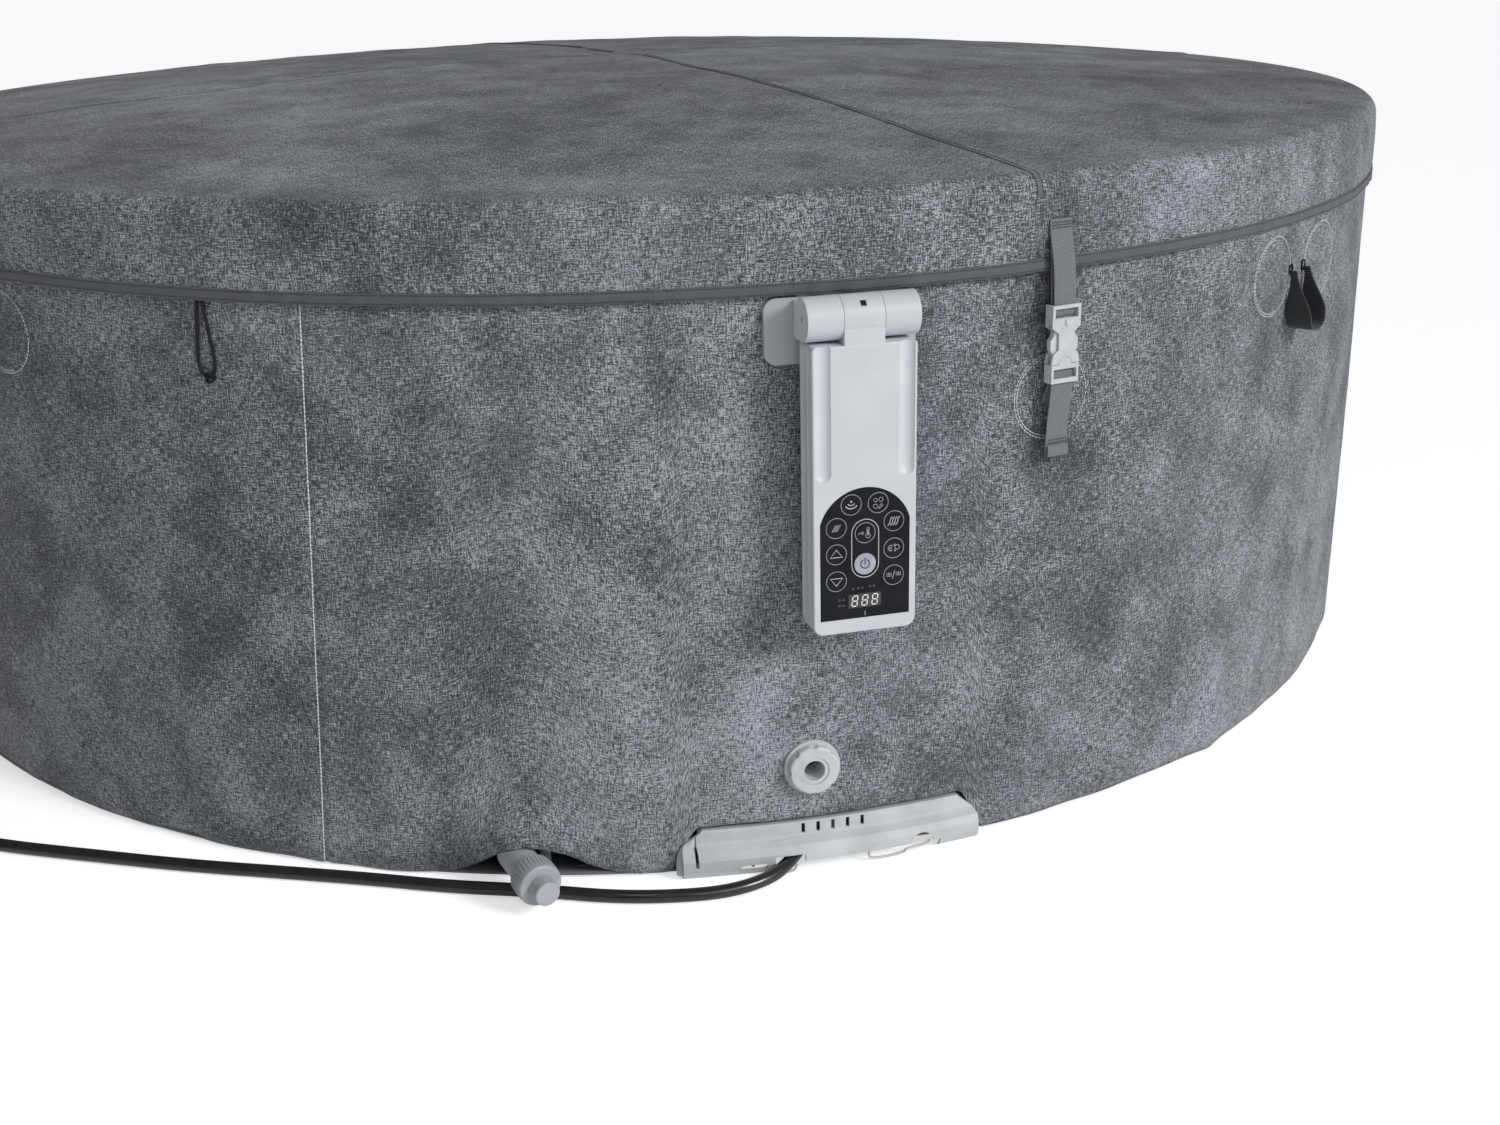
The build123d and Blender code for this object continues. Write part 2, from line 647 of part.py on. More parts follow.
# ---- Controller hanging on the rim ----
def hanger_bracket():
    cover = panel(rounded(block_face(-PLATE_LEFT, PLATE_RIGHT, PLATE_BOTTOM, HEM_Z - 2), 12), -20, 20)
    plate = tube(WRAP_R + HOOK_GAP + PLATE_T, WRAP_R + HOOK_GAP, PLATE_BOTTOM, HEM_Z - 2) & cover
    hook = rim_layer(LAYER_GAP + WRAP_T + HOOK_GAP, HOOK_T, HEM_Z - 20, WRAP_R - HOOK_REACH)
    hook &= slab(-50, 50, -HOOK_REACH - 10, 20, HEM_Z - 30, TUB_H + 10)
    body = plate + hook
    for side in (-1, 1):
        x0, x1 = sorted((side * CHEEK, side * BARREL_SPAN / 2))
        body += slab(x0, x1, 4, BARREL_W, BARREL_Z - BARREL_R, HEM_Z - 4)
        body += drum(x0, x1, BARREL_W, BARREL_Z, BARREL_R)
    return at(CONTROL_AZ, body - drum(-60, 60, BARREL_W, BARREL_Z, PIN_R))


def hinge_pin():
    half = BARREL_SPAN / 2 - 4
    return at(CONTROL_AZ, drum(-half, half, BARREL_W, BARREL_Z, PIN_R))


def control_outline(inset):
    half = CONTROL_HALF - inset
    face = block_face(-half, half, CONTROL_BOTTOM + inset, CONTROL_TOP - inset)
    return rounded(rounded(face, 10 - inset, top=False), 3.5 - inset / 2, bottom=False)


def controller_back():
    shell = panel(control_outline(0), CONTROL_BACK, CONTROL_SPLIT)
    shell = fillet(shell.faces().sort_by(Axis.Y)[-1].edges(), 2)
    shell -= panel(control_outline(SHELL_T), CONTROL_BACK + SHELL_T, CONTROL_SPLIT + 1)
    return at(CONTROL_AZ, shell)


def film_face(grow):
    half, r = FILM_W / 2 + grow, FILM_TOP + grow
    arch = ThreePointArc((-half, FILM_SHOULDER), (0, r), (half, FILM_SHOULDER))
    sides = Polyline((half, FILM_SHOULDER), (half, FILM_BOTTOM - grow), (-half, FILM_BOTTOM - grow),
                     (-half, FILM_SHOULDER))
    return make_face([arch, sides])


def key_holes(r):
    return Sketch() + [Pos(x, z) * Circle(r) for x, z in KEYS.values()]


def display_face(grow):
    half_w, half_h = DISPLAY_W / 2 + grow, DISPLAY_H / 2 + grow
    return block_face(-half_w, half_w, DISPLAY_Z - half_h, DISPLAY_Z + half_h)


def cove(side):
    x, w = side * COVE_X, CONTROL_FRONT + COVE_R - COVE_DEPTH
    channel = Pos(x, -(WRAP_R + w), (COVE_BOTTOM + CONTROL_TOP) / 2)
    run = channel * Cylinder(COVE_R, CONTROL_TOP - COVE_BOTTOM + 2)
    return run + Pos(x, -(WRAP_R + w), COVE_BOTTOM) * Sphere(COVE_R)


def controller_front():
    front, floor = CONTROL_FRONT, CONTROL_FRONT - SHELL_T
    shell = panel(control_outline(0), CONTROL_SPLIT + 0.2, front)
    shell = fillet(shell.faces().sort_by(Axis.Y)[0].edges(), 1.6)
    shell -= panel(control_outline(SHELL_T), CONTROL_SPLIT, floor - 4)
    room = block_face(-COVE_X + COVE_R, COVE_X - COVE_R, CONTROL_BOTTOM + 8, CONTROL_TOP - 8)
    low_room = block_face(-CONTROL_HALF + 4, CONTROL_HALF - 4, CONTROL_BOTTOM + 8, COVE_BOTTOM - 18)
    shell -= panel(room, CONTROL_SPLIT, floor) + panel(low_room, CONTROL_SPLIT, floor)
    shell -= [cove(-1), cove(1)]
    shell -= panel(film_face(0.2), front - FILM_T + 0.1, front + 1)
    shell -= panel(key_holes(KEY_R + KEY_FIT), front - 1, front + 1)
    shell -= panel(key_holes(KEY_STEM_R + KEY_FIT), floor - 10, front)
    shell -= panel(display_face(FIT), floor - 10, front)
    tongue = slab(-TONGUE_HALF, TONGUE_HALF, 16, front - 0.6, CONTROL_TOP - 10, BARREL_Z)
    tongue += drum(-TONGUE_HALF, TONGUE_HALF, BARREL_W, BARREL_Z, BARREL_R)
    tongue -= drum(-60, 60, BARREL_W, BARREL_Z, PIN_R + PIN_FIT)
    tongue -= slab(-3, 3, BARREL_W + 12, front + 2, 597, 602)
    tongue -= slab(-60, 60, 0, CONTROL_SPLIT + 0.2, 500, CONTROL_TOP + 0.2)
    return at(CONTROL_AZ, shell + tongue)


def keypad_film():
    face = film_face(0) - key_holes(KEY_R + KEY_FIT) - display_face(0)
    return at(CONTROL_AZ, panel(face, CONTROL_FRONT - FILM_T + 0.2, CONTROL_FRONT + 0.2))


def key(x, z):
    front = CONTROL_FRONT + 0.2
    top = panel(Pos(x, z) * Circle(KEY_R), front - 0.75, front)
    stem = panel(Pos(x, z) * Circle(KEY_STEM_R), front - 6, front - 0.5)
    return at(CONTROL_AZ, top + stem)


def display_module():
    return at(CONTROL_AZ, panel(display_face(-0.3), 42, CONTROL_FRONT - 0.4))


def controller_board():
    w = 41.8
    card = slab(-40, 40, w - 1.6, w, 290, COVE_BOTTOM - 20)
    switches = [slab(x - 3, x + 3, w, CONTROL_FRONT - 5.8 - KEY_TRAVEL - 0.2, z - 3, z + 3)
                for x, z in KEYS.values()]
    return at(CONTROL_AZ, card + switches)


# ---- Mains cord ----
def cord_radii():
    points = [Vector(*p) for p in CORD_ROUTE]
    radii = []
    for a, b, c in zip(points, points[1:], points[2:]):
        turn = math.radians((b - a).get_angle(c - b))
        radii.append(0.45 * min((b - a).length, (c - b).length) / math.tan(turn / 2))
    return radii


def power_cord():
    route = FilletPolyline(*CORD_ROUTE, radius=cord_radii())
    tube_end = Plane(origin=route @ 0, z_dir=route % 0)
    print("cord run", round(route.length), "radii", [round(r) for r in cord_radii()])
    return sweep(tube_end * Circle(CORD_R), path=route)


def cord_gland():
    out = (Vector(*CORD_ROUTE[1]) - Vector(*CORD_ROUTE[0])).normalized()
    root = Plane(origin=Vector(*CORD_ROUTE[0]) - out * GLAND_L, z_dir=out)
    sleeve = root * Cone(GLAND_R, CORD_R + 0.6, GLAND_L, align=BASE)
    return sleeve + root * Cylinder(GLAND_R + 1, 4, align=BASE)


def coil_place():
    return Pos(COIL_X, COIL_Y, 0)


def power_cord_coil():
    wide, high = COIL_WIDE * CORD_R, 2 * CORD_R * (COIL_HIGH - 1)
    body = tube(COIL_MEAN_R + wide, COIL_MEAN_R - wide, 0, high)
    top = tube(COIL_MEAN_R + CORD_R, COIL_MEAN_R - CORD_R, high - 1, high + 2 * CORD_R)
    gap = Rot(0, 0, PLUG_TURN) * Pos(COIL_MEAN_R, 0, high) * Box(80, 100, 60, align=BASE)
    return coil_place() * (body + (top - gap))


def mains_plug():
    rest = 2 * CORD_R * (COIL_HIGH - 1)
    start = -(PLUG_L + PLUG_NECK_L) / 2 - 6
    axis = coil_place() * Rot(0, 0, PLUG_TURN) * Pos(COIL_MEAN_R - 3, start, rest + PLUG_R + 0.2)
    axis = axis * Rot(-90, 0, 0)
    neck = Cone(CORD_R + 1, PLUG_R - 4, PLUG_NECK_L, align=BASE)
    body = Pos(0, 0, PLUG_NECK_L) * Cylinder(PLUG_R, PLUG_L, align=BASE)
    body = fillet(body.edges().filter_by(GeomType.CIRCLE), 3)
    plug = neck + body
    for side in (-1, 1):
        plug += Pos(side * PIN_PITCH / 2, 0, PLUG_NECK_L + PLUG_L - 1) * Cylinder(
            PLUG_PIN_R, PLUG_PIN_L + 1, align=BASE)
    return axis * plug


# ---- Write every piece ----
def stations(shape):
    return group([at(az, shape) for az in STATION_AZ])


def wall_straps():
    return stations(wall_strap())


def buckle_plugs():
    return stations(buckle_plug())


def lid_straps():
    return stations(lid_strap())


def buckle_sockets():
    return stations(buckle_socket())


PIECES = {
    "tub_floor": tub_floor, "wall_bladder": wall_bladder, "tie_beams": tie_beams,
    "outer_wrap": outer_wrap, "bubble_duct": bubble_duct, "wall_valve": wall_valve,
    "wrap_patches": wrap_patches, "handle_straps": handle_straps,
    "wall_straps": wall_straps, "buckle_plugs": buckle_plugs,
    "lid_skirt": lid_skirt, "lid_top": lid_top, "lid_hem": lid_hem,
    "lid_bladder": lid_bladder, "lid_lining": lid_lining, "draw_cord": draw_cord,
    "lid_straps": lid_straps, "buckle_sockets": buckle_sockets,
    "machine_base": machine_base, "machine_case": machine_case,
    "circulation_pump": circulation_pump, "air_blower": air_blower,
    "heater_tube": heater_tube, "water_pipes": water_pipes,
    "filter_base": filter_base, "filter_cartridge": filter_cartridge,
    "air_port": air_port, "port_nut": port_nut,
    "drain_body": drain_body, "drain_seal": drain_seal, "drain_cap": drain_cap,
    "hanger_bracket": hanger_bracket, "hinge_pin": hinge_pin,
    "controller_back": controller_back, "controller_front": controller_front,
    "keypad_film": keypad_film, "display_module": display_module,
    "controller_board": controller_board,
    "cord_gland": cord_gland, "power_cord": power_cord, "power_cord_coil": power_cord_coil,
    "mains_plug": mains_plug,
}


def write(name, shape):
    export_step(shape, os.path.join("parts", name + ".step"))


os.makedirs("parts", exist_ok=True)
for name, make in PIECES.items():
    write(name, make())
for name, (x, z) in KEYS.items():
    write(name, key(x, z))
for number, az in enumerate(STATION_AZ, 1):
    for hand, side in (("left", -1), ("right", 1)):
        write(f"buckle_arm_{number}_{hand}", at(az, buckle_arm(side)))
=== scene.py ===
import math

import bmesh
import bpy
from mathutils import Matrix, Vector, noise


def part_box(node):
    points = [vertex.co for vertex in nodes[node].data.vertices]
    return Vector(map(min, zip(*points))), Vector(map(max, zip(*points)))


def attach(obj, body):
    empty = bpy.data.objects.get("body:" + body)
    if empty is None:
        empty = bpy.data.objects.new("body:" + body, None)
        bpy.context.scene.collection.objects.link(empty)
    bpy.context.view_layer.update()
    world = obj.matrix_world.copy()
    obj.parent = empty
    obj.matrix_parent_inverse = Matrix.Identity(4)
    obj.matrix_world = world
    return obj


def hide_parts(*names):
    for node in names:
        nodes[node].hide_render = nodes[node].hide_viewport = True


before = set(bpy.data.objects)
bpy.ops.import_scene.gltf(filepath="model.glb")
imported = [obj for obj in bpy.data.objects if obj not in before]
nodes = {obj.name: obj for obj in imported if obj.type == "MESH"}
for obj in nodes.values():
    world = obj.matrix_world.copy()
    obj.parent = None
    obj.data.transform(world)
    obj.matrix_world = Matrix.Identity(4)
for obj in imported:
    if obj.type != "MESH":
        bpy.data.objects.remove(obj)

scene = bpy.context.scene
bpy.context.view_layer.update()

# ---- Camera, floor and light ----
# The viewer stands a little over a metre and a half from the front of the spa, and looks
# down at its wall. The floor is plain and pale, and the light is soft, brighter on the right.
CAMERA_BACK = 2.6724
CAMERA_HIGH = 0.9441
LOOK_RIGHT = 0.0626
LOOK_DOWN = 0.3487
CAMERA_TILT = -0.0222
CAMERA_LENS = 43.37
FLOOR_SIZE = 60

ahead = Vector((math.sin(LOOK_RIGHT) * math.cos(LOOK_DOWN),
                math.cos(LOOK_RIGHT) * math.cos(LOOK_DOWN), -math.sin(LOOK_DOWN)))
level = Vector((math.cos(LOOK_RIGHT), -math.sin(LOOK_RIGHT), 0))
upright = level.cross(ahead)
right = math.cos(CAMERA_TILT) * level + math.sin(CAMERA_TILT) * upright
above = math.cos(CAMERA_TILT) * upright - math.sin(CAMERA_TILT) * level
camera = bpy.data.objects.new("camera", bpy.data.cameras.new("camera"))
camera.data.lens = CAMERA_LENS
camera.matrix_world = Matrix.Translation((0, -CAMERA_BACK, CAMERA_HIGH)) @ Matrix(
    (right, above, -ahead)).transposed().to_4x4()
scene.collection.objects.link(camera)
scene.camera = camera
scene.view_settings.view_transform = "Standard"

room = bpy.data.worlds.new("room")
room.use_nodes = True
room.node_tree.nodes["Background"].inputs["Color"].default_value = (0.97, 0.985, 1.0, 1)
room.node_tree.nodes["Background"].inputs["Strength"].default_value = 0.17
scene.world = room


def lamp(name, kind, place, target, **settings):
    made = bpy.data.objects.new(name, bpy.data.lights.new(name, kind))
    for setting, value in settings.items():
        setattr(made.data, setting, value)
    made.location = place
    made.rotation_euler = (Vector(target) - Vector(place)).to_track_quat("-Z", "Y").to_euler()
    scene.collection.objects.link(made)


lamp("key_light", "SUN", (3.4, -2.4, 2.7), (0, 0, 0.3), energy=1.85, angle=0.3)
lamp("front_softbox", "AREA", (1.5, -4.5, 2.4), (0.1, -1, 0.4), energy=23, size=2.2)
lamp("gloss_strip", "AREA", (-0.6, -3.2, 3.2), (0, -1, 0.1), energy=5, size=0.6)


class Value:
    """A node's output. Sums and products of it add the Math nodes that work them out."""

    def __init__(self, tree, socket):
        self.tree = tree
        self.socket = socket

    def worked(self, operation, *terms):
        step = self.tree.nodes.new("ShaderNodeMath")
        step.operation = operation
        for place, term in zip(step.inputs, terms):
            if isinstance(term, Value):
                self.tree.links.new(term.socket, place)
            else:
                place.default_value = term
        return Value(self.tree, step.outputs[0])

    def __add__(self, other):
        return self.worked("ADD", self, other)

    __radd__ = __add__

    def __sub__(self, other):
        return self.worked("SUBTRACT", self, other)

    def __rsub__(self, other):
        return self.worked("SUBTRACT", other, self)

    def __mul__(self, other):
        return self.worked("MULTIPLY", self, other)

    __rmul__ = __mul__

    def __abs__(self):
        return self.worked("ABSOLUTE", self)

    def wave(self):
        return self.worked("SINE", self)

    def above(self, limit):
        return self.worked("GREATER_THAN", self, limit)


class Finish:
    """One material and the nodes that make it."""

    def __init__(self, name, colour=(0.5, 0.5, 0.5), **steady):
        self.material = bpy.data.materials.new(name)
        self.material.use_nodes = True
        self.tree = self.material.node_tree
        self.shader = self.tree.nodes["Principled BSDF"]
        self.shader.inputs["Base Color"].default_value = (*colour, 1)
        for socket, value in steady.items():
            label = socket.replace("_", " ").title().replace("Ior", "IOR")
            self.shader.inputs[label].default_value = value

    def node(self, kind, settings=None, sockets=None, out=0):
        made = self.tree.nodes.new("ShaderNode" + kind)
        for name, value in (settings or {}).items():
            if name == "stops":
                for stop, (place, colour) in zip(range(len(value)), value):
                    ramp = made.color_ramp.elements
                    mark = ramp[stop] if stop < 2 else ramp.new(place)
                    mark.position = place
                    mark.color = (*colour, 1) if len(colour) == 3 else colour
            else:
                setattr(made, name, value)
        for name, value in (sockets or {}).items():
            self.feed(next(s for s in made.inputs if s.identifier == name), value)
        return Value(self.tree, made.outputs[out])

    def feed(self, place, value):
        if isinstance(value, Value):
            self.tree.links.new(value.socket, place)
        else:
            place.default_value = value

    def gives(self, socket, value):
        self.feed(self.shader.inputs[socket], value)

    def coords(self, kind):
        return self.node("TexCoord", out=kind)

    def scaled(self, place, *scale):
        return self.node("Mapping", sockets={"Vector": place, "Scale": scale})

    def noise(self, place, scale, detail=2, rough=0.5):
        sockets = {"Vector": place, "Scale": scale, "Detail": detail, "Roughness": rough}
        return self.node("TexNoise", sockets=sockets)

    def shades(self, value, *stops):
        return self.node("ValToRGB", {"stops": stops}, {"Fac": value})

    def mixed(self, share, first, second):
        sockets = {"Factor_Float": share, "A_Color": first, "B_Color": second}
        return self.node("Mix", {"data_type": "RGBA"}, sockets, "Result")

    def relief(self, height, deep, strength=1.0):
        sockets = {"Height": height, "Distance": deep, "Strength": strength}
        self.gives("Normal", self.node("Bump", sockets=sockets))

    def grain(self, scale, deep, strength, detail=2):
        self.relief(self.noise(self.coords("Object"), scale, detail), deep, strength)

    def uneven_gloss(self, least, spread, scale, detail=2):
        self.gives("Roughness", least + spread * self.noise(self.coords("Object"), scale, detail))


def mottled(name, colour, tones, scale, detail=2, rough=0.5, at=(0.3, 0.7), **steady):
    """A finish whose colour drifts between two tones."""
    finish = Finish(name, colour, **steady)
    drift = finish.noise(finish.coords("Object"), scale, detail, rough)
    finish.gives("Base Color", finish.shades(drift, *zip(at, tones)))
    return finish


def moulded(name, colour, tones, scale, gloss, grain, strength, roughness):
    """Moulded plastic: two close tones, an uneven gloss and a fine grain."""
    plastic = mottled(name, colour, tones, scale, 4, 0.6, (0.3, 0.72), roughness=roughness)
    plastic.uneven_gloss(*gloss)
    plastic.grain(grain, 0.00006, strength)
    return plastic


def grey(level):
    return (level, level, level)


studio = Finish("studio_floor", (0.93, 0.93, 0.935), roughness=0.6)
studio.relief(studio.noise(studio.coords("Object"), 3), 0.001, 0.1)
studio.gives("Emission Color", (1, 1, 1, 1))
studio.gives("Emission Strength", 0.13 + 0.42 * studio.node("LightPath", out="Is Camera Ray"))
floor_mesh = bpy.data.meshes.new("studio_floor")
half = FLOOR_SIZE / 2
floor_mesh.from_pydata([(-half, -half, 0), (half, -half, 0), (half, half, 0), (-half, half, 0)],
                       [], [(0, 1, 2, 3)])
floor_mesh.materials.append(studio.material)
studio_floor = bpy.data.objects.new("studio_floor", floor_mesh)
scene.collection.objects.link(studio_floor)


# ---- Mains cord ----
# Black rubber-sheathed cord, 14 mm thick, from a gland in the machine's base, along the
# foot of the spa on the floor, to a neat coil at the left with a two-pin plug lying on it.
CORD_D = 0.014
CORD_RUN = [
    (0.150, -1.001, 0.015), (0.133, -1.034, 0.009), (0.092, -1.062, 0.007), (0.042, -1.073, 0.007),
    (-0.038, -1.069, 0.007), (-0.119, -1.047, 0.007), (-0.212, -1.029, 0.007),
    (-0.286, -1.007, 0.007), (-0.371, -0.985, 0.007), (-0.493, -0.955, 0.007),
    (-0.600, -0.922, 0.007), (-0.706, -0.889, 0.007), (-0.790, -0.850, 0.007),
]
COIL_CENTRE = Vector((-0.880, -0.905, 0))
COIL_RADII = (0.091, 0.077, 0.063)
COIL_ENTRY = math.radians(85)
COIL_STEPS = 16
COIL_TOP_STEPS = 11
SPLINE_DRAW_IN = 0.981
PLUG_TURN = math.radians(60)
PLUG_NECK = Vector((0.074, -0.036, 0.0467))


def ease(share):
    share = min(1.0, max(0.0, share))
    return share * share * (3 - 2 * share)


def coil_points():
    """The cord's centre round the coil: three turns inward, three outward on top, and part of one more."""
    turns = [*COIL_RADII, *reversed(COIL_RADII), COIL_RADII[1]]
    levels = [CORD_D / 2] * 3 + [CORD_D * 1.5] * 3 + [CORD_D * 2.5]
    points = []
    for step in range(COIL_STEPS * 6 + COIL_TOP_STEPS):
        turn, part = divmod(step, COIL_STEPS)
        after = min(turn + 1, 6)
        jog = ease((part / COIL_STEPS - 0.8) / 0.2)
        radius = (turns[turn] + (turns[after] - turns[turn]) * jog) / SPLINE_DRAW_IN
        height = levels[turn] + (levels[after] - levels[turn]) * jog
        angle = COIL_ENTRY + 2 * math.pi * step / COIL_STEPS
        points.append(COIL_CENTRE + Vector((radius * math.cos(angle), radius * math.sin(angle), height)))
    return points


def cord_curve(name, points, thick, finish, body):
    curve = bpy.data.curves.new(name, "CURVE")
    curve.dimensions = "3D"
    curve.bevel_depth = thick / 2
    curve.bevel_resolution = 6
    curve.resolution_u = 8
    curve.use_fill_caps = True
    line = curve.splines.new("NURBS")
    line.points.add(len(points) - 1)
    for mark, place in zip(line.points, points):
        mark.co = (*place, 1)
    line.order_u = 3
    line.use_endpoint_u = True
    curve.materials.append(finish)
    piece = bpy.data.objects.new(name, curve)
    scene.collection.objects.link(piece)
    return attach(piece, body)


rubber = mottled("black_rubber", (0.012, 0.013, 0.015), [(0.004, 0.004, 0.005), (0.013, 0.014, 0.016)],
                 60, 4, at=(0.3, 0.75), roughness=0.28, coat_weight=0.6, coat_roughness=0.12)
rubber.uneven_gloss(0.22, 0.25, 25, 3)
rubber.grain(900, 0.00008, 0.6)

neck_turn = Matrix.Rotation(PLUG_TURN, 4, "Z")
plug_entry = COIL_CENTRE + neck_turn @ PLUG_NECK
plug_lead = COIL_CENTRE + neck_turn @ (PLUG_NECK + Vector((0, -0.016, -0.001)))
cord_points = [Vector(p) for p in CORD_RUN] + coil_points() + [plug_lead, plug_entry]
mains_cord = cord_curve("mains_cord", cord_points, CORD_D, rubber.material, "tub")
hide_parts("power_cord", "power_cord_coil")
for name in ("mains_plug", "cord_gland"):
    nodes[name].data.materials.clear()
    nodes[name].data.materials.append(rubber.material)


def dressed(names, finish):
    """Gives CAD nodes their finish."""
    for name in names:
        nodes[name].data.materials.clear()
        nodes[name].data.materials.append(finish.material)


# ---- Draw cord of the lid ----
# Thin black elastic runs inside the lid's hem. One loop of it hangs out at the left of the
# front, with a knot at its low end to pull on.
WALL_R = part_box("outer_wrap")[1].x * 1000
MM = 0.001
LOOP_AZ = -23.6
LOOP_D = 0.0035
LOOP_OUT = 5.5
LOOP_POINTS = [(-3, 602.3), (-8, 564), (-10, 538), (-4, 527), (4, 527), (10, 538), (7, 566), (3, 602.3)]
KNOT_POINTS = 9


def on_wall(az, x, w, z):
    """The place x along the wall, w out from its face and z up, in mm, at an azimuth from the front."""
    turn = math.radians(az)
    out = WALL_R + w
    return MM * Vector((x * math.cos(turn) + out * math.sin(turn),
                        x * math.sin(turn) - out * math.cos(turn), z))


def facing(az):
    """The outward direction of the wall at an azimuth."""
    return Vector((math.sin(math.radians(az)), -math.cos(math.radians(az)), 0)).normalized()


def made(name, points, faces, finish, body, slot, sharp=None, uv=None):
    """A mesh piece that rides on a body and takes the given finish. Its slot is not used."""
    mesh = bpy.data.meshes.new(name)
    mesh.from_pydata([tuple(p) for p in points], [], faces)
    if uv is not None:
        layer = mesh.uv_layers.new(name="UVMap")
        layer.data.foreach_set("uv", [part for face in faces for corner in range(len(face))
                                      for part in uv(face, corner)])
    mesh.materials.append(finish.material)
    mesh.shade_smooth()
    if sharp:
        mesh.set_sharp_from_angle(angle=math.radians(sharp))
    mesh.validate()
    piece = bpy.data.objects.new(name, mesh)
    scene.collection.objects.link(piece)
    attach(piece, body)
    return piece


def thickened(piece, thick, rim=True):
    """Gives a sheet its thickness, in mm, inwards from its face."""
    sheet = piece.modifiers.new("sheet", "SOLIDIFY")
    sheet.thickness = thick * MM
    sheet.offset = -1
    sheet.use_rim = rim


def full_turn(parts):
    """Evenly spaced angles all the way round."""
    return [2 * math.pi * part / parts for part in range(parts)]


def disc_places(radius, rings, parts):
    """Ring by ring over a disc: x, y and the distance from its middle."""
    for ring_number in range(rings + 1):
        r = radius * max(0.002, ring_number / rings)
        for turn in full_turn(parts):
            yield r * math.cos(turn), r * math.sin(turn), r


def quads(rows, wide, closed=False):
    """The faces of a sheet laid out in rows of points."""
    last = wide if closed else wide - 1
    return [(r * wide + c, r * wide + (c + 1) % wide, (r + 1) * wide + (c + 1) % wide, (r + 1) * wide + c)
            for r in range(rows - 1) for c in range(last)]


def bar_along(points, radius, sides=10, closed=False):
    """The points and faces of a round bar along a line, its radius a number or one for each point."""
    radii = radius if isinstance(radius, list) else [radius] * len(points)
    ring_points = []
    side = None
    for k, place in enumerate(points):
        before = points[k - 1] if k or closed else place
        after = points[(k + 1) % len(points)] if k < len(points) - 1 or closed else place
        along = (after - before).normalized()
        if side is None:
            side = along.orthogonal()
        side = (side - along * side.dot(along)).normalized()
        up = along.cross(side)
        for s in range(sides):
            turn = 2 * math.pi * s / sides
            ring_points.append(place + radii[k] * (math.cos(turn) * side + math.sin(turn) * up))
    rings = len(points)
    faces = quads(rings, sides, True)
    if closed:
        faces += [((rings - 1) * sides + s, (rings - 1) * sides + (s + 1) % sides, (s + 1) % sides, s)
                  for s in range(sides)]
    else:
        faces += [tuple(reversed(range(sides))), tuple(range((rings - 1) * sides, rings * sides))]
    return ring_points, faces


elastic = Finish("elastic_cord", (0.01, 0.01, 0.012), roughness=0.55, specular_ior_level=0.3)
braid = elastic.noise(elastic.scaled(elastic.coords("Object"), 1, 1, 0.6), 1400, 1)
elastic.gives("Base Color", elastic.shades(braid, (0.3, (0.003, 0.003, 0.004)),
                                           (0.75, (0.016, 0.017, 0.020))))
elastic.relief(braid, 0.0003, 0.9)

loop_line = [on_wall(LOOP_AZ, x, LOOP_OUT, z) for x, z in LOOP_POINTS]
pull_loop = cord_curve("draw_cord_loop", loop_line, LOOP_D, elastic.material, "lid")
knot_line = [on_wall(LOOP_AZ, 1 + 5.2 * math.sin(2 * math.pi * k / KNOT_POINTS),
                     LOOP_OUT + 2.6 * math.cos(4 * math.pi * k / KNOT_POINTS),
                     527 + 4.6 * math.cos(2 * math.pi * k / KNOT_POINTS)) for k in range(KNOT_POINTS)]
pull_knot = made("draw_cord_knot", *bar_along(knot_line, LOOP_D / 2, 10, True), elastic, "lid",
                 "draw_cord_black")
rounder = pull_knot.modifiers.new("rounder", "SUBSURF")
rounder.levels = rounder.render_levels = 2
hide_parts("draw_cord")


# ---- Tub: floor, wall and bubble duct ----
# The tub is welded from grey vinyl: a floor sheet and a ring-shaped air chamber whose two
# sides are held together by upright webs, so that its inner face swells between the welds.
FLOOR_RINGS = 60
FLOOR_PARTS = 240
FLOOR_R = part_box("tub_floor")[1].x * 1000
BAY_AZ = 10.7
BAY = (-172, 164, -185)
INNER_R = 817.5
BEAM_TURN = 15
WELD_DEEP = 9
WELD_WIDE = 16
WALL_VOXEL = 0.010
WALL_EASE = 5

vinyl = mottled("tub_vinyl", (0.3, 0.31, 0.33), [(0.105, 0.112, 0.125), (0.185, 0.195, 0.21)],
                30, 5, 0.6, (0.25, 0.75), roughness=0.42, coat_weight=0.15)
vinyl_place = vinyl.coords("Object")
vinyl.uneven_gloss(0.32, 0.3, 60, 3)
vinyl.relief(vinyl.noise(vinyl_place, 1100, 2) + 0.6 * vinyl.noise(vinyl_place, 140, 2), 0.0003, 0.5)


def in_bay(place):
    """Whether a place is inside the recess that holds the machine."""
    turned = Matrix.Rotation(math.radians(-BAY_AZ), 3, "Z") @ Vector(place) / MM
    return BAY[0] < turned.x < BAY[1] and turned.y < -(WALL_R + BAY[2])


def quilted(x, y):
    """The height of the floor's embossing: soft round pads in a honeycomb, in mm."""
    pitch = 46
    row = y / (pitch * 0.866)
    away = []
    for r in (math.floor(row), math.floor(row) + 1):
        middle = (round(x / pitch - 0.5 * (r % 2)) + 0.5 * (r % 2)) * pitch
        away.append(math.hypot(x - middle, y - r * pitch * 0.866))
    return 2.2 * ease((21 - min(away)) / 9)


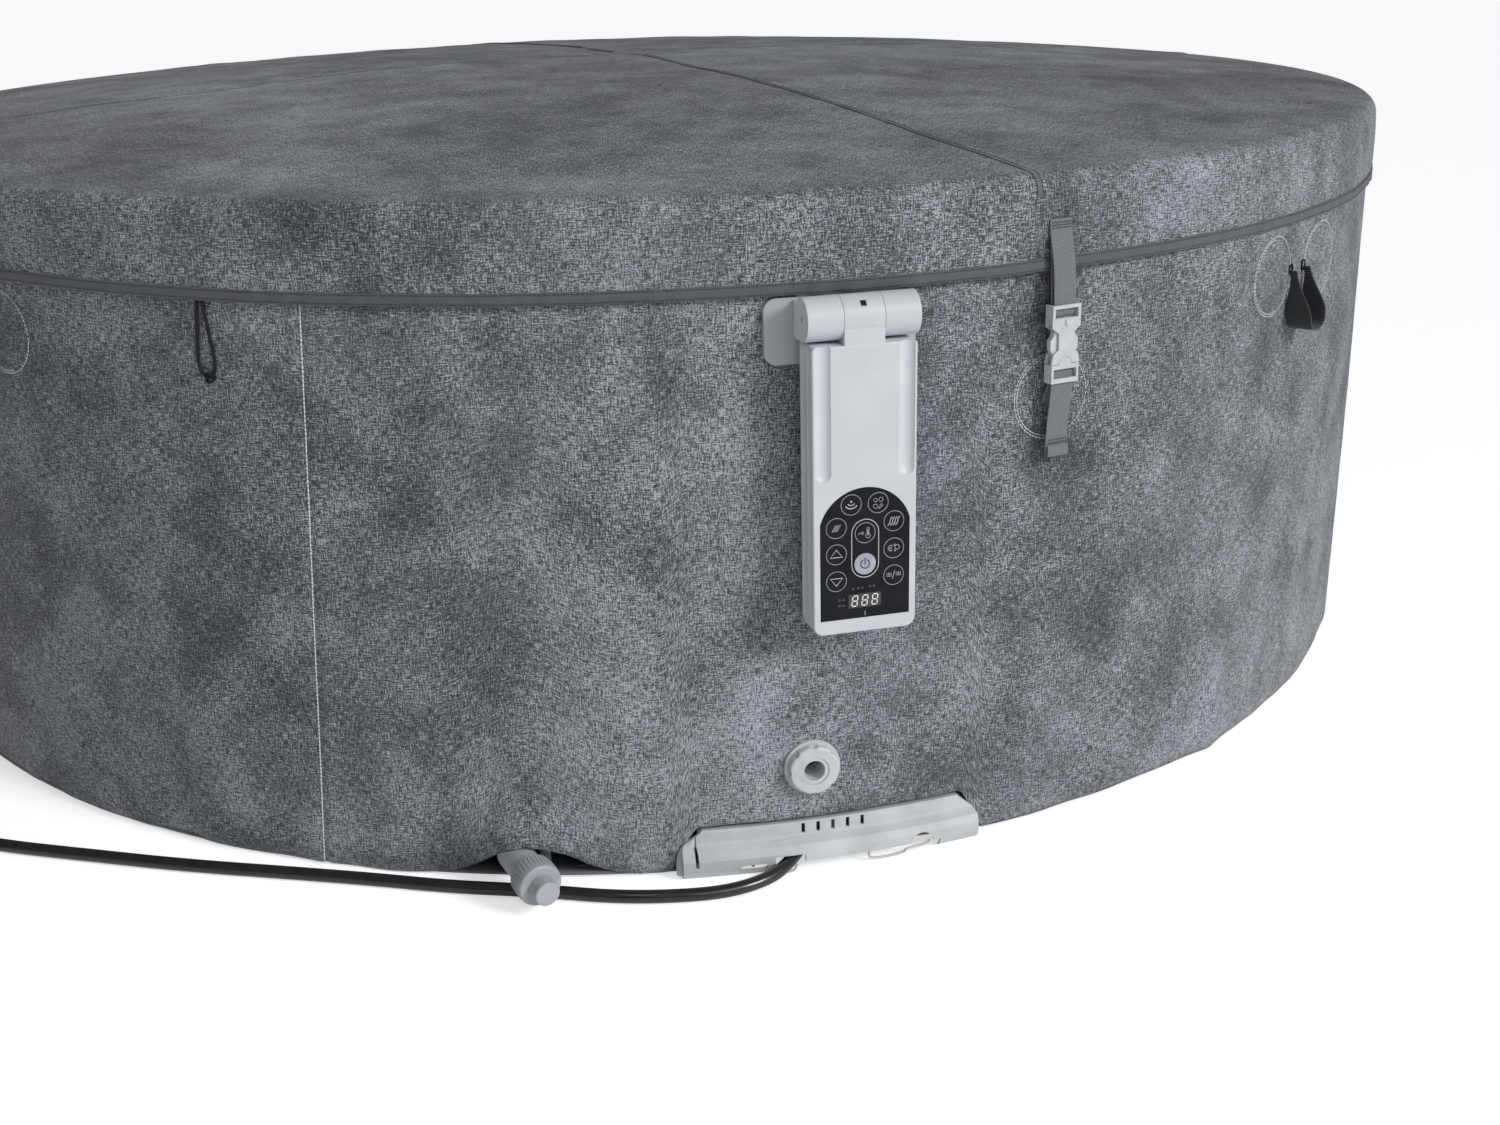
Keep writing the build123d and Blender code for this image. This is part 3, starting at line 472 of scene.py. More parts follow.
floor_points = [MM * Vector((x, y, 3.9 + (quilted(x, y) if r < INNER_R else 0)))
                for x, y, r in disc_places(FLOOR_R, FLOOR_RINGS, FLOOR_PARTS)]
floor_faces = [f for f in quads(FLOOR_RINGS + 1, FLOOR_PARTS, True) if not in_bay(floor_points[f[0]])]
spa_floor = made("spa_floor", floor_points, floor_faces, vinyl, "tub", "tub_vinyl")
thickened(spa_floor, 3.2)
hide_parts("tub_floor")


def outer_shell(node):
    """A copy of a node's outer surface, without the surface of its hollow."""
    shell = bmesh.new()
    shell.from_mesh(nodes[node].data)
    bmesh.ops.remove_doubles(shell, verts=shell.verts, dist=1e-5)
    left, islands = set(shell.verts), []
    while left:
        found, waiting = set(), [next(iter(left))]
        while waiting:
            vert = waiting.pop()
            if vert not in found:
                found.add(vert)
                waiting += [e.other_vert(vert) for e in vert.link_edges]
        left -= found
        islands.append(found)
    widest = max(islands, key=lambda island: max(v.co.x for v in island) + max(v.co.z for v in island))
    bmesh.ops.delete(shell, geom=[v for v in shell.verts if v not in widest], context="VERTS")
    bmesh.ops.triangulate(shell, faces=shell.faces)
    mesh = bpy.data.meshes.new(node + "_shell")
    shell.to_mesh(mesh)
    shell.free()
    return mesh


def evened(mesh, voxel, passes):
    """The mesh laid out again in even quads, with its edges eased."""
    rough = bpy.data.objects.new("rough", mesh)
    scene.collection.objects.link(rough)
    even = rough.modifiers.new("even", "REMESH")
    even.mode = "VOXEL"
    even.voxel_size = voxel
    smoother = rough.modifiers.new("ease", "SMOOTH")
    smoother.iterations = passes
    ready = bpy.data.meshes.new_from_object(rough.evaluated_get(bpy.context.evaluated_depsgraph_get()))
    bpy.data.objects.remove(rough)
    return ready


wall_mesh = evened(outer_shell("wall_bladder"), WALL_VOXEL, WALL_EASE)
for vert in wall_mesh.vertices:
    x, y, z = vert.co / MM
    r = math.hypot(x, y)
    az = math.degrees(math.atan2(x, -y))
    off = abs((az + BEAM_TURN / 2) % BEAM_TURN - BEAM_TURN / 2)
    weld = math.exp(-((math.radians(off) * r / WELD_WIDE) ** 2))
    inner = ease((INNER_R + 60 - r) / 50)
    swell = WELD_DEEP * (1 - weld) * inner * ease(z / 60) * ease((660 - z) / 40)
    fine = 1.2 * noise.noise(Vector((x, y, z)) / 70) * inner
    move = 3 * inner - swell * 0.6 + fine - 4.5 * ease((r - 990) / 20)
    vert.co = MM * Vector((x * (r + move) / r, y * (r + move) / r, z - 1.5 * ease((z - 670) / 12)))
wall_mesh.materials.clear()
wall_mesh.materials.append(vinyl.material)
wall_mesh.shade_smooth()
air_wall = bpy.data.objects.new("air_wall", wall_mesh)
scene.collection.objects.link(air_wall)
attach(air_wall, "tub")
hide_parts("wall_bladder")
dressed(["tie_beams", "bubble_duct"], vinyl)


# ---- Outer wrap ----
# A fitted jacket of coated polyester with a stone-like print covers the air wall from the
# floor, round the rim and a hand's width in. It is held by the rim and by its own fit.
WRAP_COLUMNS = 1440
WRAP_ROWS = 76
RIM_ROWS = 9
RIM_R = 42.5
RIM_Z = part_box("outer_wrap")[1].z * 1000
WRAP_END_R = 850
TOP_ROWS = 10
CLOTH_T = 1.4
BASE_OPENING = (-167, 159, 52.5)
DRAIN_AZ = -8.1
DRAIN_ARCH = 51
DRAIN_ARCH_W = 58
DRAIN_BULGE = 31
PORT_AZ = 9.2
PORT_Z = 113
CONTROL_AZ = 11.43
STATIONS = (24, 114, 204, 294)
HANDLES = (47.1, 137.1, 227.1, 317.1)
HANDLE_PATCH_TURN = 3.5
PATCH_R = 47.5
STATION_PATCH_Z = 475
HANDLE_PATCH_Z = 548
FOLD_AZ = 39.5
VALVE_AZ = 187.5
# Where something is fixed over the cloth and holds it flat: azimuth, height, half width, half height.
FIXTURES = [(CONTROL_AZ, 620, 84, 90), (PORT_AZ, PORT_Z, 27, 27), (CONTROL_AZ - 0.7, 45, 165, 12)]
FIXTURES += [(az, 505, 24, 88) for az in STATIONS]
FIXTURES += [(az, HANDLE_PATCH_Z - 25, 24, 50) for az in HANDLES]


def printed_cloth(name, light=1.0):
    """Coated polyester with a cloudy stone print, worn-looking flecks and a fine plain weave."""
    cloth = Finish(name, roughness=0.82, sheen_weight=0.12)
    place = cloth.coords("Object")
    flat = cloth.coords("UV")
    clouds = cloth.noise(place, 3.4, 4, 0.6) - 0.5
    blotches = cloth.noise(place, 15, 5, 0.62) - 0.5
    rubbed = cloth.noise(place, 7.5, 4, 0.6)
    flecks = cloth.noise(flat, 620, 3, 0.7) - 0.5
    warp = cloth.noise(cloth.scaled(flat, 760, 105, 1), 1, 2, 0.6) - 0.5
    weft = cloth.noise(cloth.scaled(flat, 105, 760, 1), 1, 2, 0.6) - 0.5
    weave = warp + weft + 1.4 * flecks
    scratches = cloth.noise(cloth.scaled(flat, 26, 160, 1), 1, 4, 0.7).above(0.69) * rubbed.above(0.54)
    tone = 0.5 + 0.9 * clouds + 0.7 * blotches + weave * (0.5 + 2.4 * rubbed) + 0.14 * scratches
    dark, mid, pale = (0.026, 0.029, 0.036), (0.132, 0.143, 0.163), (0.50, 0.52, 0.56)
    stops = [(0.12, dark), (0.5, mid), (0.95, pale)]
    cloth.gives("Base Color", cloth.shades(tone, *[(at, tuple(light * c for c in rgb)) for at, rgb in stops]))
    cloth.gives("Roughness", 0.9 - 0.25 * rubbed)
    cloth.relief(weave + 0.4 * blotches, 0.0006, 0.75)
    return cloth


def near(az, other):
    """How far one azimuth is from another round the wall, in mm, to the right or left."""
    return math.radians((az - other + 180) % 360 - 180) * WALL_R


def held_flat(az, z):
    """0 where something is fixed over the cloth, rising to 1 away from it."""
    free = 1.0
    for centre, height, half_w, half_h in FIXTURES:
        off = max(abs(near(az, centre)) - half_w, abs(z - height) - half_h)
        free *= ease(off / 45)
    return free


def seam_x(z):
    """Where the side seam runs: it leans a little towards the left as it goes down."""
    return -17.7 - 2.3 * (602 - z) / 602


def drape(az, z):
    """How far the wrap's cloth stands out from its face at a place, in mm."""
    turn = math.radians(az)
    c, s = math.cos(turn), math.sin(turn)
    broad = noise.noise(Vector((4 * c, 4 * s, z / 270)))
    soft = noise.noise(Vector((13 * c, 13 * s, z / 150 + 5)))
    small = noise.noise(Vector((34 * c, 34 * s, z / 45 + 9)))
    low = ease(1 - z / 330)
    hanging = noise.noise(Vector((17 * c, 17 * s, z / 620 + 20))) * low
    drain_off = math.hypot(near(az, DRAIN_AZ), z - 70)
    gathers = math.sin(drain_off / 6.5 + 2 * soft) * math.exp(-drain_off / 48)
    crease = 8 * math.exp(-abs(near(az, FOLD_AZ)) / 60) * ease(1 - z / 420)
    out = 2.3 + 2.0 * broad + 1.0 * soft + 0.35 * small + 3.4 * hanging + 1.8 * gathers + crease
    out += DRAIN_BULGE * math.exp(-((near(az, DRAIN_AZ + 0.7) / 38) ** 2)) * ease((105 - z) / 62) ** 1.4
    seam = abs(near(az, seam_x(z)))
    out -= 1.6 * math.exp(-((seam / 3.2) ** 2)) - 0.9 * math.exp(-(((seam - 9) / 5) ** 2))
    return max(0.15, out * held_flat(az, z) * ease((690 - z) / 60)) - 0.1


def hem_z(az):
    """The height of the wrap's lower edge, which is raised over the machine's base and the drain."""
    x = near(az, BAY_AZ)
    left, right_end, high = BASE_OPENING
    over_base = high * ease((x - left + 12) / 34) * ease((right_end + 11 - x) / 32)
    over_drain = DRAIN_ARCH * math.exp(-((near(az, DRAIN_AZ + 0.9) / DRAIN_ARCH_W) ** 2))
    slack = 1.3 * noise.noise(Vector((az / 3.1, 0, 4)))
    return 2.2 + max(0, slack) + max(over_base, over_drain)


def wrap_at(az, z, proud=0.0):
    """A place on the wrap's upright face, in metres."""
    return on_wall(az, 0, drape(az, z) + proud, z)


wrap_points = []
wrap_up = []
corner_z = RIM_Z - RIM_R
for row in range(WRAP_ROWS + RIM_ROWS + TOP_ROWS + 1):
    for column in range(WRAP_COLUMNS):
        az = 360 * column / WRAP_COLUMNS
        low_z = hem_z(az)
        if row <= WRAP_ROWS:
            z = low_z + (corner_z - low_z) * row / WRAP_ROWS
            tuck = 6 * (1 - ease((z - low_z) / 16)) * ease(1 - (low_z - 2) / 20)
            place = on_wall(az, 0, drape(az, z) - tuck, z)
        elif row <= WRAP_ROWS + RIM_ROWS:
            turn = math.pi / 2 * (row - WRAP_ROWS) / RIM_ROWS
            place = on_wall(az, 0, RIM_R * (math.cos(turn) - 1), corner_z + RIM_R * math.sin(turn))
        else:
            share = (row - WRAP_ROWS - RIM_ROWS) / TOP_ROWS
            out = (WALL_R - RIM_R) + (WRAP_END_R - WALL_R + RIM_R) * share
            sag = 0.9 * noise.noise(Vector((out / 60, az / 4, 3))) - 0.9
            place = on_wall(az, 0, out - WALL_R, RIM_Z + sag * ease(share * 4))
        wrap_points.append(place)
    wrap_up.append(corner_z * MM * row / WRAP_ROWS if row <= WRAP_ROWS
                   else (corner_z + 7.4 * (row - WRAP_ROWS)) * MM)


def round_cloth(rows_up, columns):
    """Lays the cloth's print out in metres: round the wall, and up it."""
    def laid(face, corner):
        row, column = divmod(face[corner], columns)
        if corner in (1, 2) and column == 0:
            column = columns
        return 2 * math.pi * WALL_R * MM * column / columns, rows_up[row]
    return laid


port_place = on_wall(PORT_AZ, 0, 0, PORT_Z)
valve_place = Vector((0.9175 * math.sin(math.radians(VALVE_AZ)), -0.9175 * math.cos(math.radians(VALVE_AZ)),
                      RIM_Z * MM))


def clear_of_fittings(face):
    """Whether a face stays when the holes for the air port and the wall's valve are cut."""
    middle = sum((wrap_points[v] for v in face), Vector()) / len(face)
    return (middle - port_place).length > 0.019 and (middle - valve_place).length > 0.023


stone_cloth = printed_cloth("stone_cloth")
wrap_faces = [f for f in quads(len(wrap_up), WRAP_COLUMNS, True) if clear_of_fittings(f)]
wall_wrap = made("wall_wrap", wrap_points, wrap_faces, stone_cloth, "tub", "grey_cloth",
                 uv=round_cloth(wrap_up, WRAP_COLUMNS))
thickened(wall_wrap, CLOTH_T)
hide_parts("outer_wrap")


# ---- Patches and stitching of the wrap ----
# Round patches of the same cloth back the straps and the handles. They and the side seam are
# sewn with pale thread, whose stitches show as a broken ring and a thin upright line.
PATCH_RINGS = 12
PATCH_PARTS = 72
STITCH = 3.7
STITCH_PITCH = 4.3
THREAD = 1.15

thread = mottled("pale_thread", (0.62, 0.64, 0.66), [(0.62, 0.64, 0.66), (0.88, 0.90, 0.92)], 900,
                 roughness=0.7, sheen_weight=0.4)
thread.grain(2600, 0.0002, 0.8, 1)
dark_thread = mottled("dark_thread", (0.05, 0.055, 0.06), [grey(0.028), (0.075, 0.08, 0.088)], 900,
                      roughness=0.7)


def stitches(line, length=STITCH, pitch=STITCH_PITCH, thick=THREAD, closed=False):
    """Points and faces of a row of stitches along (place, outward) pairs. Each dips in at its ends."""
    points, faces = [], []
    ends = line[1:] + line[:1] if closed else line[1:]
    walked, due = 0.0, pitch * MM / 2
    for (here, up), (there, _) in zip(line, ends):
        step = (there - here).length
        along = (there - here).normalized() if step else along
        while due <= walked + step:
            middle = here + along * (due - walked)
            side = along.cross(up).normalized()
            start = len(points)
            for share, size in ((-0.5, 0.35), (-0.2, 1.0), (0.2, 1.0), (0.5, 0.35)):
                rise = thick * (size - 0.55) * 0.45
                core = middle + along * share * length * MM + up * rise * MM
                points += [core + MM * thick / 2 * size * (math.cos(t) * side + 0.8 * math.sin(t) * up)
                           for t in (0, 1.0472, 2.0944, 3.1416, 4.1888, 5.236)]
            faces += [tuple(start + v for v in face) for face in quads(4, 6, True)]
            faces += [tuple(start + v for v in range(5, -1, -1)), tuple(start + 18 + v for v in range(6))]
            due += pitch * MM
        walked += step
    return points, faces


def joined(parts):
    """One set of points and faces from several."""
    points, faces = [], []
    for more_points, more_faces in parts:
        faces += [tuple(len(points) + v for v in face) for face in more_faces]
        points += more_points
    return points, faces


def patch(az, z):
    """A round patch that follows the cloth under it, its edge turned in."""
    points = []
    for ring in range(PATCH_RINGS + 1):
        r = PATCH_R * max(0.01, ring / PATCH_RINGS)
        for part in range(PATCH_PARTS):
            turn = 2 * math.pi * part / PATCH_PARTS
            x, up = r * math.cos(turn), r * math.sin(turn)
            here = az + math.degrees(x / WALL_R)
            lift = 0.75 - 0.6 * ease((ring - PATCH_RINGS + 1.2) / 1.2)
            lift -= 0.22 * math.exp(-((r - 44) / 1.6) ** 2)
            points.append(wrap_at(here, z + up, lift))
    return points, [tuple(reversed(f)) for f in quads(PATCH_RINGS + 1, PATCH_PARTS, True)]


def patch_ring(az, z, r, start=0.0, end=360.0):
    """A ring of stitches, or part of one, round a patch."""
    line = []
    for k in range(121):
        turn = math.radians(start + (end - start) * k / 120)
        x, up = r * math.cos(turn), r * math.sin(turn)
        here = az + math.degrees(x / WALL_R)
        line.append((wrap_at(here, z + up, 0.75), facing(here)))
    return stitches(line)


patch_cloth = printed_cloth("patch_cloth", 0.97)
patch_spots = [(az, STATION_PATCH_Z) for az in STATIONS]
patch_spots += [(az + side * HANDLE_PATCH_TURN, HANDLE_PATCH_Z) for az in HANDLES for side in (-1, 1)]


def patch_print(face, corner):
    """Lays the print of the patches out in metres, ring by ring."""
    ring, part = divmod(face[corner] % (PATCH_PARTS * (PATCH_RINGS + 1)), PATCH_PARTS)
    r = PATCH_R * MM * ring / PATCH_RINGS
    turn = 2 * math.pi * part / PATCH_PARTS
    return r * math.cos(turn) + face[0] // (PATCH_PARTS * (PATCH_RINGS + 1)), r * math.sin(turn)


sewn_patches = made("sewn_patches", *joined(patch(az, z) for az, z in patch_spots), patch_cloth, "tub",
                    "patch_cloth", uv=patch_print)
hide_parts("wrap_patches")
patch_rings = [patch_ring(az, z, 44) for az, z in patch_spots]
patch_rings += [patch_ring(az, z, 41.2, 95, 285) for az, z in patch_spots]
patch_stitches = made("patch_stitches", *joined(patch_rings), thread, "tub", "patch_cloth")

seam_line = []
for k in range(121):
    z = 640 - (640 - hem_z(seam_x(0)) - 2) * k / 120
    seam_line.append((wrap_at(seam_x(z), z, 0.5), facing(seam_x(z))))
side_seam_stitches = made("side_seam_stitches", *stitches(seam_line, 4.5, 4.4, 1.7), thread, "tub",
                          "grey_cloth")


# ---- Wall valve ----
# The air wall is blown up through a screw valve let into the top of its rim, at the back.
fittings = moulded("fitting_plastic", (0.46, 0.49, 0.51), [(0.53, 0.555, 0.58), (0.68, 0.705, 0.73)],
                   35, (0.28, 0.2, 90), 1500, 0.6, 0.35)
dressed(["wall_valve", "air_port", "port_nut", "water_pipes", "filter_base"], fittings)


# ---- Handles ----
# Loops of black ribbed webbing for carrying, edge on to the wall, their ends pushed through
# slits beside two patches and sewn behind the cloth.
HANDLE_LOW = HANDLE_PATCH_Z - 66
HANDLE_OUT = (1.2, 31.2)
HANDLE_T = 3.0
HANDLE_LINE = [(-18, HANDLE_PATCH_Z), (-21, HANDLE_LOW + 34), (-21, HANDLE_LOW + 14), (-14, HANDLE_LOW),
               (14, HANDLE_LOW), (21, HANDLE_LOW + 14), (21, HANDLE_LOW + 34), (18, HANDLE_PATCH_Z)]


def cut_corners(line, times):
    """The line with its corners cut again and again, which leaves a smooth bend."""
    for _ in range(times):
        cut = [line[0]]
        for a, b in zip(line, line[1:]):
            a, b = Vector(a), Vector(b)
            cut += [a * 0.75 + b * 0.25, a * 0.25 + b * 0.75]
        line = cut + [line[-1]]
    return [Vector(p) for p in line]


def paced(line, step):
    """Points at an even pace along a line."""
    out, walked, due = [], 0.0, 0.0
    for a, b in zip(line, line[1:]):
        run = (b - a).length
        while due <= walked + run:
            out.append(a + (b - a) * ((due - walked) / run if run else 0))
            due += step
        walked += run
    return out


def webbing(line, across, wide, thick, ribs=0.0, pitch=2.2, step=0.8, lanes=10, edge=0.35):
    """Points and faces of flat webbing, with cross ribs and soft edges. Its width may vary with height."""
    points = []
    line = paced(line, step * MM)
    for k, place in enumerate(line):
        along = (line[min(k + 1, len(line) - 1)] - line[max(k - 1, 0)]).normalized()
        up = along.cross(across).normalized()
        rib = ribs * (0.5 + 0.5 * math.cos(2 * math.pi * k * step / pitch))
        wide_here = wide(place.z / MM) if callable(wide) else wide
        loop = []
        for face in (1, -1):
            for lane in range(lanes + 1):
                share = (lane / lanes - 0.5) * face
                rim = edge * (1 - ease((0.5 - abs(share)) * lanes / 1.2))
                half = thick / 2 * (1 - rim) + rib
                loop.append(place + across * share * wide_here * MM + up * face * half * MM)
        points += loop
    count = 2 * (lanes + 1)
    rings = len(line)
    faces = quads(rings, count, True)
    faces += [tuple(reversed(range(count))), tuple(range((rings - 1) * count, rings * count))]
    return points, faces


def strap_finish(name, deep, pale, rows=5200):
    """Woven polypropylene strap: rows of yarn across it, with a slight sheen."""
    strap = Finish(name, pale, roughness=0.62, sheen_weight=0.25)
    place = strap.coords("Object")
    rows_up = (strap.node("SeparateXYZ", sockets={"Vector": place}, out="Z") * rows).wave()
    yarn = strap.noise(strap.scaled(place, 1, 1, 1.6), 700, 3, 0.6)
    weave = 0.35 * rows_up + 1.6 * (yarn - 0.5)
    strap.gives("Base Color", strap.shades(0.5 + 0.45 * weave, (0.2, deep), (0.8, pale)))
    strap.gives("Roughness", 0.55 + 0.25 * yarn)
    strap.relief(weave, 0.0004, 0.7)
    return strap


def handle_width(z):
    """How wide the handle's webbing stands out from the wall: gathered at its slits, full at the grip."""
    return 8 + (HANDLE_OUT[1] - HANDLE_OUT[0] - 8) * ease((HANDLE_PATCH_Z - 4 - z) / 46)


black_webbing = strap_finish("black_webbing", (0.005, 0.0055, 0.007), (0.036, 0.039, 0.045), 1900)
# Painted shadow: thin near-black rings round each handle slit stand for the shade in the slit's opening.
slit_black = Finish("slit_shadow", (0.006, 0.006, 0.008), roughness=0.9)
slit_black.grain(800, 0.0003, 0.5)
handle_parts = []
slit_parts = []
for az in HANDLES:
    bent = cut_corners([on_wall(az, x, HANDLE_OUT[0] + handle_width(z) / 2, z) for x, z in HANDLE_LINE], 3)
    handle_parts.append(webbing(bent, facing(az), handle_width, HANDLE_T - 0.6, 0.35, 3.2))
    for side in (-1, 1):
        lip = [on_wall(az, side * 17 + 4.2 * math.cos(t), 1.2, HANDLE_PATCH_Z + 1 + 5.5 * math.sin(t))
               for t in full_turn(24)]
        slit_parts.append(bar_along(lip, 1.0 * MM, 8, True))
carry_handles = made("carry_handles", *joined(handle_parts), black_webbing, "tub", "black_webbing", 40)
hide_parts("handle_straps")
# The rings of painted shadow round the slits.
made("handle_slit_shadow_rings", *joined(slit_parts), slit_black, "tub", "black_webbing")


# ---- Machine base ----
# Pale moulded fascia of the pump unit, curved with the wall. It has cooling slots, a soft
# step along its face, and an arched notch and a low way for the cord in its lower edge.
BASE_AZ = 10.7
RAILS = [[(-66, 16, 11), (-66, 16, 3), (-50, 16.4, 2.2), (-47, 16.4, 10)],
         [(30, 15.5, 11.5), (31, 15.5, 3), (70, 14.8, 3), (71, 14.8, 8), (96, 14.2, 8), (99, 14.0, 12)]]
RAIL_R = 1.3
STEP_CREASE = [(-150, 15.3, 12), (-112, 15.4, 17), (-88, 13.6, 26), (-66, 7.2, 33), (-40, 4.7, 34.6),
               (40, 4.7, 34.6), (148, 4.7, 34.6)]
FLAP_ROWS = 12
FLAP_W = 22

shell_plastic = Finish("base_plastic", (0.47, 0.49, 0.5), roughness=0.42)
shell_place = shell_plastic.coords("Object")
# Painted shade: the fascia's colour grows lighter with height, darker near the floor and lighter at its top
# edge.
height_for_painted_shade = shell_plastic.node("SeparateXYZ", sockets={"Vector": shell_place}, out="Z")
shell_plastic.gives("Base Color", shell_plastic.shades(
    shell_plastic.noise(shell_place, 22, 4, 0.6) + 1.6 * height_for_painted_shade,
    (0.3, (0.50, 0.52, 0.53)), (0.8, (0.68, 0.70, 0.71))))
shell_plastic.uneven_gloss(0.36, 0.2, 70)
shell_plastic.grain(1300, 0.00006, 0.6)
dressed(["machine_base"], shell_plastic)
rail_parts = []
for rail in RAILS:
    bent = cut_corners([on_wall(BASE_AZ + math.degrees(x / WALL_R), 0, w, z) for x, w, z in rail], 2)
    rail_parts.append(bar_along(bent, RAIL_R * MM, 8))
crease = cut_corners([on_wall(BASE_AZ + math.degrees(x / WALL_R), 0, w, z) for x, w, z in STEP_CREASE], 3)
rail_parts.append(bar_along(crease, 0.9 * MM, 8))
base_rails = made("base_rails", *joined(rail_parts), shell_plastic, "tub", "base_plastic")
flap_points = []
for row in range(FLAP_ROWS + 1):
    share = row / FLAP_ROWS
    z = 2.5 + 40 * share
    wide = FLAP_W * math.sqrt(max(0.02, 1 - share ** 2.2))
    for lane in range(7):
        x = -150 - wide * (1 - lane / 6) * (0.9 + 0.2 * share)
        curl = 3.2 + 4.5 * math.sin(math.pi * lane / 6) * (1 - 0.5 * share)
        flap_points.append(on_wall(BASE_AZ + math.degrees(x / WALL_R), 0, curl - 1.8 * share, z))
base_flap = made("base_end_flap", flap_points, quads(FLAP_ROWS + 1, 7), shell_plastic, "tub", "base_plastic")
thickened(base_flap, 1.2)


# ---- Machine inside the wall ----
# Behind the fascia a dark case holds the pump, the air blower and a steel heater tube, joined
# by plastic pipes. A pleated paper filter screws on to the inlet inside the tub.
dark_metal = mottled("machine_black", (0.02, 0.021, 0.024), [grey(0.012), grey(0.04)], 40, 4, 0.6,
                     (0.3, 0.75), roughness=0.5)
dark_metal.grain(600, 0.0002, 0.5)
dressed(["machine_case", "circulation_pump", "air_blower"], dark_metal)
steel = Finish("brushed_steel", (0.55, 0.56, 0.57), metallic=1.0, roughness=0.3)
steel_brush = steel.noise(steel.scaled(steel.coords("Object"), 40, 40, 1200), 1, 3)
steel.gives("Roughness", 0.2 + 0.3 * steel_brush)
steel.gives("Base Color", steel.shades(steel_brush, (0.3, grey(0.42)), (0.7, grey(0.62))))
dressed(["heater_tube", "hinge_pin"], steel)
paper = Finish("filter_paper", (0.75, 0.76, 0.74), roughness=0.85)
paper_fibre = paper.noise(paper.scaled(paper.coords("Object"), 1, 1, 0.3), 500, 5, 0.7)
paper.gives("Base Color", paper.shades(paper_fibre, (0.3, (0.62, 0.64, 0.62)), (0.7, (0.80, 0.81, 0.79))))
paper.relief(paper_fibre, 0.0005, 0.7)
dressed(["filter_cartridge"], paper)


# ---- Drain ----
# A short angled outlet with a ring-shaped screw cap, sealed by a rubber washer under the cap.
drain_plastic = moulded("drain_plastic", (0.42, 0.45, 0.48), [(0.36, 0.39, 0.42), (0.46, 0.49, 0.52)],
                        45, (0.25, 0.25, 80), 1400, 0.6, 0.35)
dressed(["drain_body", "drain_cap"], drain_plastic)
seal_rubber = Finish("seal_rubber", (0.02, 0.02, 0.022), roughness=0.7)
seal_rubber.grain(900, 0.0001, 0.6)
dressed(["drain_seal"], seal_rubber)
DRAIN_ELBOW = on_wall(DRAIN_AZ, 0, 10, 36)
DRAIN_WAY = Vector((0.43573, -0.89736, -0.06976)).normalized()
GRIP_RIBS = 36
CAP_R = 22.8
RIM_AT = 67.0


def round_drain(r, along, turn):
    """A place round the drain's axis, in metres."""
    side = DRAIN_WAY.orthogonal().normalized()
    up = DRAIN_WAY.cross(side)
    return DRAIN_ELBOW + DRAIN_WAY * along * MM + MM * r * (math.cos(turn) * side + math.sin(turn) * up)


cap_ribs = []
for turn in full_turn(GRIP_RIBS):
    rib_line = [round_drain(CAP_R + 0.1, along, turn) for along in (45.5, 50, 58, 63.5)]
    cap_ribs.append(bar_along(rib_line, [0.25 * MM, 0.6 * MM, 0.6 * MM, 0.25 * MM], 6))
rim_ring = [round_drain(16.4, RIM_AT, turn) for turn in full_turn(48)]
cap_ribs.append(bar_along(rim_ring, 1.1 * MM, 8, True))
made("drain_cap_grip", *joined(cap_ribs), drain_plastic, "drain_cap", "drain_plastic")


# ---- Lid: skirt, top, hem and seams ----
# A padded round lid of the same printed cloth. Its skirt comes down over the rim, ends in a
# bound hem with the elastic in it, and meets the top at a soft rounded edge. Four felled
# seams run from the straps to the middle.
LID_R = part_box("lid_skirt")[1].x * 1000
LID_EDGE_R = 18
LID_TOP_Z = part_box("lid_top")[1].z * 1000
LID_RISE = 56
HEM_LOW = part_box("lid_hem")[0].z * 1000
HEM_HIGH = HEM_LOW + 12
SKIRT_ROWS = 26
EDGE_ROWS = 10
DOME_ROWS = 70
LID_COLUMNS = 1200
FELL_W = 8.0
FELL_T = 0.9
FELL_TURN = 1.4


def dome_z(r):
    """The height of the lid's top at a distance from its middle."""
    return LID_TOP_Z - LID_RISE * (r / LID_R) ** 2


def hem_sag(az):
    """How far the lid's hem strays from level at an azimuth, in mm."""
    return 1.6 * noise.noise(Vector((3.1 * math.cos(math.radians(az)), 3.1 * math.sin(math.radians(az)), 8)))


def skirt_out(az, z):
    """How far the skirt stands out from its face, in mm, with fine puckers above the elastic hem."""
    c, s = math.cos(math.radians(az)), math.sin(math.radians(az))
    broad = noise.noise(Vector((5 * c, 5 * s, z / 160)))
    soft = noise.noise(Vector((19 * c, 19 * s, z / 50 + 2)))
    pucker = noise.noise(Vector((75 * c, 75 * s, z / 90 + 6))) * math.exp(-(z - HEM_HIGH) / 22)
    free = min(ease((abs(near(az, station)) - 17) / 30) for station in STATIONS)
    free = max(free, ease((z - 660) / 20))
    pinch = -2.4 * math.exp(-(((z - HEM_HIGH - 2) / 4) ** 2))
    return -0.3 + (1.4 * broad + 1.1 * soft + 1.3 * pucker + 1.2) * free + pinch * 0.4


